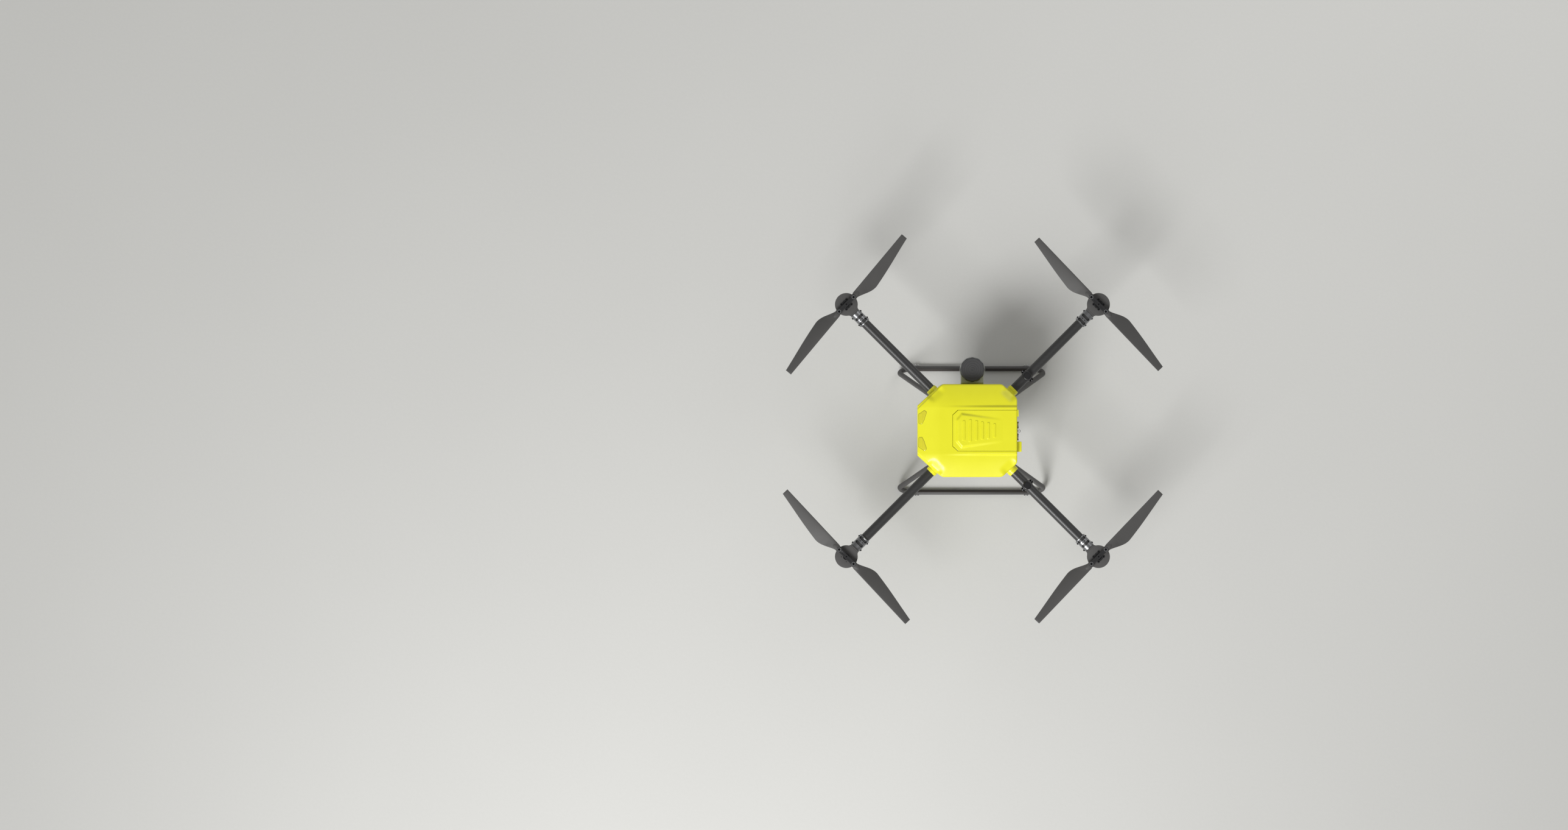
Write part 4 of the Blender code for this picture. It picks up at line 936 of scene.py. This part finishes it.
def buildLatch():
    s = latchSize
    stretch = Matrix.Diagonal((1, 1, s["tall"], 1))
    base = shift(s["x"], s["middle"], s["height"]) @ stretch @ turn(-90, "X")
    names = ["cap", "end", "nut", "barrel"]
    for (start, end, finishName, share), name in zip(s["runs"], names):
        radius = s["radius"] * share
        edge = 0.0006
        run = lathe([(radius - edge, start), (radius, start + edge), (radius, end - edge),
                     (radius - edge, end)], 32)
        both = Shape().add(run).add(run, turn(180, "X"))
        node = ("hatch_latch_housing",) if name == "barrel" else ()
        piece("latch." + name, meshOf(name, both), finishName, "airframe", base, node)
    back = pillow(rectangle(0.1904, -0.0418, 0.1917, 0.0378, 0.0004, 2), 0.4655, 0.4785, 0.0004, 2)
    piece("latch.back", meshOf("back", back), "brass", "airframe")
    softened("hatch_latch_pull", "screwSteel", "latch_pull", 0.0002)


buildShellParts()
buildLamps()
buildLatch()
print("stage: body parts built")


tankSize = {
    "half": 0.122, "front": -0.128, "back": 0.188, "low": 0.185, "high": 0.334, "filler": 0.259,
    "spout": 0.049, "neck": 0.0416, "top": 0.388,
}


def spoutPlan(start, half):
    middle = tankSize["filler"]
    angles = [math.radians(a) for a in range(-90, 91, 5)]
    points = [(half * math.sin(a), middle + half * math.cos(a)) for a in angles]
    return [(half, start)] + points[::-1] + [(-half, start)]


def buildTank():
    s = tankSize
    shape = pillow(rectangle(-s["half"], s["front"], s["half"], s["back"], 0.020, 8), s["low"], s["high"],
                   0.010, 5,
                   grooves=(0.225, 0.258, 0.291))
    shape.add(pillow(rectangle(-0.130, -0.108, 0.130, 0.168, 0.004), 0.3300, 0.3340, 0.0010, 2))
    shape.add(pillow(spoutPlan(0.178, s["spout"]), 0.230, 0.3338, 0.006, 4))
    shape.add(pillow(spoutPlan(0.2022, s["spout"] - 0.0006), 0.240, s["top"] - 0.0004, 0.004, 4))
    middle = shift(0, s["filler"], 0)
    shape.add(lathe([(0.0465, 0.3825), (0.0530, 0.3832), (0.0540, 0.3842), (0.0540, 0.3870), (0.0530, 0.3880),
                     (0.0465, 0.3880)], 72, wrap=True), middle)
    neck = [(0.0372, 0.372), (s["neck"] - 0.0006, 0.380), (s["neck"] - 0.0006, 0.3895)]
    for height in (0.3905, 0.3940, 0.3975):
        neck += [(s["neck"] - 0.0006, height), (s["neck"], height + 0.0008), (s["neck"], height + 0.0014),
                 (s["neck"] - 0.0006, height + 0.0022)]
    neck += [(s["neck"] - 0.0004, 0.4012), (s["neck"] - 0.0010, 0.4019), (0.0378, 0.4019), (0.0372, 0.4012)]
    shape.add(lathe(neck, 72, wrap=True), middle)
    piece("tank.body", meshOf("tank", shape), "tankPlastic", "tank", replaced=("spray_tank",))
    bolts = joined([(screw(0.0026, 0.0018), shift(x, y, 0.3336))
                    for x in (-0.126, 0.126) for y in (-0.09, 0.03, 0.15)])
    piece("tank.bolts", meshOf("bolts", bolts), "screwSteel", "tank")


capSize = {"radius": 0.0513, "lobes": 12, "depth": 0.0012, "low": 0.3892, "high": 0.4202, "bore": 0.0430}


def buildCap():
    s = capSize
    top = s["high"]
    rows = [(s["bore"], 0, 0.4064), (s["bore"], 0, s["low"]), (s["radius"] - 0.0012, 0.8, s["low"]),
            (s["radius"], 1, s["low"] + 0.0012), (s["radius"], 1, top - 0.0060),
            (s["radius"] - 0.0008, 0.9, top - 0.0030), (s["radius"] - 0.0024, 0.6, top - 0.0008),
            (s["radius"] - 0.0045, 0.2, top), (0.0440, 0, top), (0.0428, 0, top - 0.0015)]
    for outer, inner in ((0.0370, 0.0335), (0.0270, 0.0240), (0.0180, 0.0158)):
        rows += [(outer, 0, top - 0.0015), (outer - 0.0006, 0, top - 0.0007),
                 (inner + 0.0006, 0, top - 0.0007), (inner, 0, top - 0.0015)]
    rows += [(0.0095, 0, top - 0.0015), (0.0088, 0, top - 0.0002), (0.0046, 0, top - 0.0002),
             (0.0042, 0, top - 0.0020)]
    rings = []
    for radius, share, height in rows:
        ring = []
        for k in range(192):
            a = 2 * math.pi * k / 192
            reach = radius + share * s["depth"] * math.cos(s["lobes"] * a)
            ring.append((*polar(reach, a), height))
        rings.append(ring)
    place = shift(0, tankSize["filler"], 0)
    piece("cap.body", meshOf("cap", loft(rings)), "capGrey", "cap", place, ("filler_cap",))


buildTank()
buildCap()
print("stage: tank and cap built")


legSize = {
    "radius": 0.0107, "top": (0.140, 0.125, 0.3497), "elbow": (0.3205, 0.2525), "end": (0.2453, 0.264),
    "straight": 0.012, "bend": 0.026, "ground": 0.01079, "plate": 0.020, "skidHalf": 0.245,
}


def legRoute():
    s = legSize
    top = Vector(s["top"])
    elbow = Vector((*s["elbow"], s["ground"]))
    end = Vector((*s["end"], s["ground"]))
    straight = end + Vector((s["straight"], 0, 0))
    before, after = (top - elbow).normalized(), (straight - elbow).normalized()
    half = before.angle(after) / 2
    reach = s["bend"] / math.tan(half)
    centre = elbow + (before + after).normalized() * (s["bend"] / math.sin(half))
    start = (elbow + before * reach - centre).normalized()
    finishPoint = (elbow + after * reach - centre).normalized()
    bend = [centre + start.slerp(finishPoint, k / 14) * s["bend"] for k in range(15)]
    return [top, *bend, straight, end]


def halfSleeve(outer, inner, start, end, length):
    rings = []
    for x in (-length, -length + 0.0008, length - 0.0008, length):
        trim = 0.0005 if abs(x) == length else 0.0
        ring = []
        for k in range(25):
            a = math.radians(start + (end - start) * k / 24)
            ring.append((x, *polar(outer - trim, a)))
        for k in range(24, -1, -1):
            a = math.radians(start + (end - start) * k / 24)
            ring.append((x, *polar(inner, a)))
        rings.append(ring)
    return loft(rings)


def buildUndercarriage():
    s = legSize
    route = legRoute()
    x, y = s["top"][:2]
    leg = tubeAlong(route, s["radius"])
    half = s["plate"]
    plate = pillow(rectangle(x - half, y - half, x + half, y + half, 0.006), 0.3477, 0.3516, 0.0010, 2)
    socket = lathe([(0.0135, 0.0), (0.0135, 0.016), (0.0120, 0.0175), (0.0100, 0.0175), (0.0100, 0.0)], 36,
                   wrap=True)
    down = (route[1] - route[0]).normalized()
    tilt = down.to_track_quat("Z", "Y").to_matrix().to_4x4()
    leg.add(plate).add(socket, Matrix.Translation(route[0] + down * 0.0065) @ tilt)
    legMesh = meshOf("leg", leg)
    screws = joined([(screw(0.0028, 0.0020), shift(x + dx, y + dy, 0.3478) @ turn(180, "X"))
                     for dx in (-0.014, 0.014) for dy in (-0.014, 0.014)])
    plug = lathe([(0.0048, 0.0), (0.0046, 0.0006), (0.0026, 0.0007), (0.0024, 0.0001)], 28)
    screws.add(plug, shift(0.2975, 0.2562, s["ground"] + 0.0103))
    screwMesh = meshOf("legScrews", screws)
    for corner, azimuth in armSize["azimuths"].items():
        sx = math.copysign(1, math.cos(math.radians(azimuth)))
        sy = math.copysign(1, math.sin(math.radians(azimuth)))
        flip = Matrix.Diagonal((sx, sy, 1, 1))
        for mesh, name, finishName, slotName in ((legMesh, ".legTube", "legGrey", "leg_tube"),
                                                 (screwMesh, ".legScrews", "screwBlack", "steel")):
            own = mesh.copy()
            own.transform(flip)
            if sx * sy < 0:
                own.flip_normals()
            node = (corner + "_leg",) if name == ".legTube" else ()
            piece(corner + name, own, finishName, "airframe", replaced=node)
    reach = s["skidHalf"]
    core = lathe([(0.0086, 0.0004 - reach), (0.0101, -reach), (0.0101, reach), (0.0086, reach - 0.0004)],
                 48, wrap=True)
    core = Shape().add(core, turn(90, "Y"))
    # the outward half sleeve is grey and the inward half a darker brown: painted shade on the skid's inward
    # side
    outerMesh = meshOf("outer", halfSleeve(0.01078, 0.0098, -88, 82, 0.2442))
    innerMesh = meshOf("inner", halfSleeve(0.01050, 0.0098, 84, 270, 0.2436))
    coreMesh = meshOf("core", core)
    studs, tips = Shape(), Shape()
    for end in (-1, 1):
        for place in (0.239, 0.228):
            base = shift(end * place, 0, 0) @ turn(-90, "X")
            studs.add(lathe([(0.0030, 0.0095), (0.0030, 0.0150), (0.0025, 0.0154)], 20), base)
            studs.add(washer(0.0046, 0.0028, 0.0012), base @ shift(0, 0, 0.0104))
            tips.add(lathe([(0.0026, 0.0150), (0.0026, 0.0178), (0.0018, 0.0185)], 20), base)
    studMesh, tipMesh = meshOf("studs", studs), meshOf("tips", tips)
    for name, sign in (("right", 1), ("left", -1)):
        place = shift(0, sign * 0.264, s["ground"]) @ turn(0 if sign > 0 else 180)
        piece(name + ".skidCore", coreMesh, "legGrey", "airframe", place, (name + "_skid_tube",))
        piece(name + ".skidOuter", outerMesh, "legGrey", "airframe", place)
        piece(name + ".skidInner", innerMesh, "skidShadeBrown", "airframe", place)
        piece(name + ".studs", studMesh, "screwSteel", "airframe", place)
        piece(name + ".studTips", tipMesh, "whiteNylon", "airframe", place)


antennaSize = {"reach": 0.330, "radius": 0.0178, "low": 0.019, "high": 0.0362, "clamp": 0.0233,
               "length": 0.012, "ear": 0.031}


def buildAntennas():
    s = antennaSize
    top, low, radius = s["high"], s["low"], s["radius"]
    puck = lathe([(radius - 0.0015, low), (radius, low + 0.0015), (radius, top - 0.0040),
                  (radius - 0.0005, top - 0.0020), (radius - 0.0020, top - 0.0006),
                  (radius - 0.0032, top - 0.0004), (0.0142, top - 0.0012), (0.0136, top - 0.0012),
                  (0.0132, top - 0.0003), (0.0060, top), (0.0020, top)], 64)
    wide, end, edge = s["clamp"], s["length"], 0.0007
    band = lathe([(0.0204, -end), (wide - edge, -end), (wide, edge - end), (wide, end - edge),
                  (wide - edge, end), (0.0204, end)], 56, wrap=True)
    band = Shape().add(band, turn(90, "Y"))
    for side in (-1, 1):
        for low in (0.0004, -0.0029):
            ear = pillow(rectangle(-0.0082, 0.0195, 0.0082, s["ear"] - 0.0002, 0.0060), low, low + 0.0025,
                         0.0006, 2)
            band.add(ear, turn(0 if side > 0 else 180))
    mesh = meshOf("antenna", Shape().add(puck).add(band))
    screws = joined([(screw(0.0026, 0.0022), shift(0, side * 0.0265, 0.0027)) for side in (-1, 1)])
    screwMesh = meshOf("antennaScrews", screws)
    for corner in ("rear_right", "rear_left"):
        place = shift(0, 0, armSize["height"]) @ turn(armSize["azimuths"][corner]) @ shift(s["reach"], 0, 0)
        piece(corner + ".antenna", mesh, "antennaBlack", "airframe", place,
              (corner + "_gnss_antenna",))
        piece(corner + ".antennaScrews", screwMesh, "screwSteel", "airframe", place)


buildUndercarriage()
buildAntennas()
softened("spray_pump", "blackPlastic", "airframe", 0.0012)
softened("battery_pack", "batteryWrap", "airframe", 0.0020)
softened("flight_controller", "blackPlastic", "airframe", 0.0010)
softened("centre_frame", "plateCarbon", "airframe", 0.0004)
print("stage: undercarriage, antennas and inner parts built")


# the CAD nodes still shown take the same finishes
plainNodes = {"filler_cap_seal": ("blackRubberAndShade", "rubber")}
for corner in armSize["azimuths"]:
    plainNodes[corner + "_motor_stator"] = ("copperWire", "copper")
    plainNodes[corner + "_motor_rotor"] = ("motorMetal", "motor_metal")
for node, (finishName, slotName) in plainNodes.items():
    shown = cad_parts[node]
    for holder in shown.material_slots:
        holder.material = materials[finishName]


studioSize = {"floor": 40.0, "world": 0.34, "key": 110.0, "fill": 30.0, "sun": 1.65}


def buildStudio():
    s = studioSize
    half = s["floor"]
    mesh = meshOf("floor", Shape([(*corner, 0) for corner in rectangle(-half, -half, half, half, 0)],
                                 [range(4)]))
    mesh.materials.append(materials["floorPale"])
    floor = linked("floor", mesh)
    for name, place, size in (("key", (-1.6, -3.4, 3.6), 2.6), ("fill", (2.4, 3.2, 3.2), 3.0)):
        data = bpy.data.lights.new(name, "AREA")
        data.size = size
        data.energy = s[name]
        light = linked(name, data)
        light.location = place
        light.rotation_euler = Vector(place).to_track_quat("Z", "Y").to_euler()
        light.visible_camera = False
    data = bpy.data.lights.new("sun", "SUN")
    data.energy = s["sun"]
    data.angle = math.radians(24)
    sun = linked("sun", data)
    sun.rotation_euler = (math.radians(36), math.radians(-26), 0)
    world = bpy.data.worlds.new("studio")
    world.use_nodes = True
    background = world.node_tree.nodes["Background"]
    background.inputs["Color"].default_value = (1.0, 0.99, 0.97, 1.0)
    background.inputs["Strength"].default_value = s["world"]
    bpy.context.scene.world = world


# straight above, from far enough that it sees almost without perspective
cameraSize = {"lens": 400.0, "x": -0.8025, "y": 0.0662, "width": 6.716}


def buildCamera():
    s = cameraSize
    data = bpy.data.cameras.new("camera")
    data.lens = s["lens"]
    data.sensor_width = 36.0
    data.clip_end = 200.0
    camera = linked("camera", data)
    camera.location = (s["x"], s["y"], s["width"] * s["lens"] / data.sensor_width)
    bpy.context.scene.camera = camera
    bpy.context.scene.view_settings.view_transform = "Standard"


buildStudio()
buildCamera()
print("stage: studio ready")
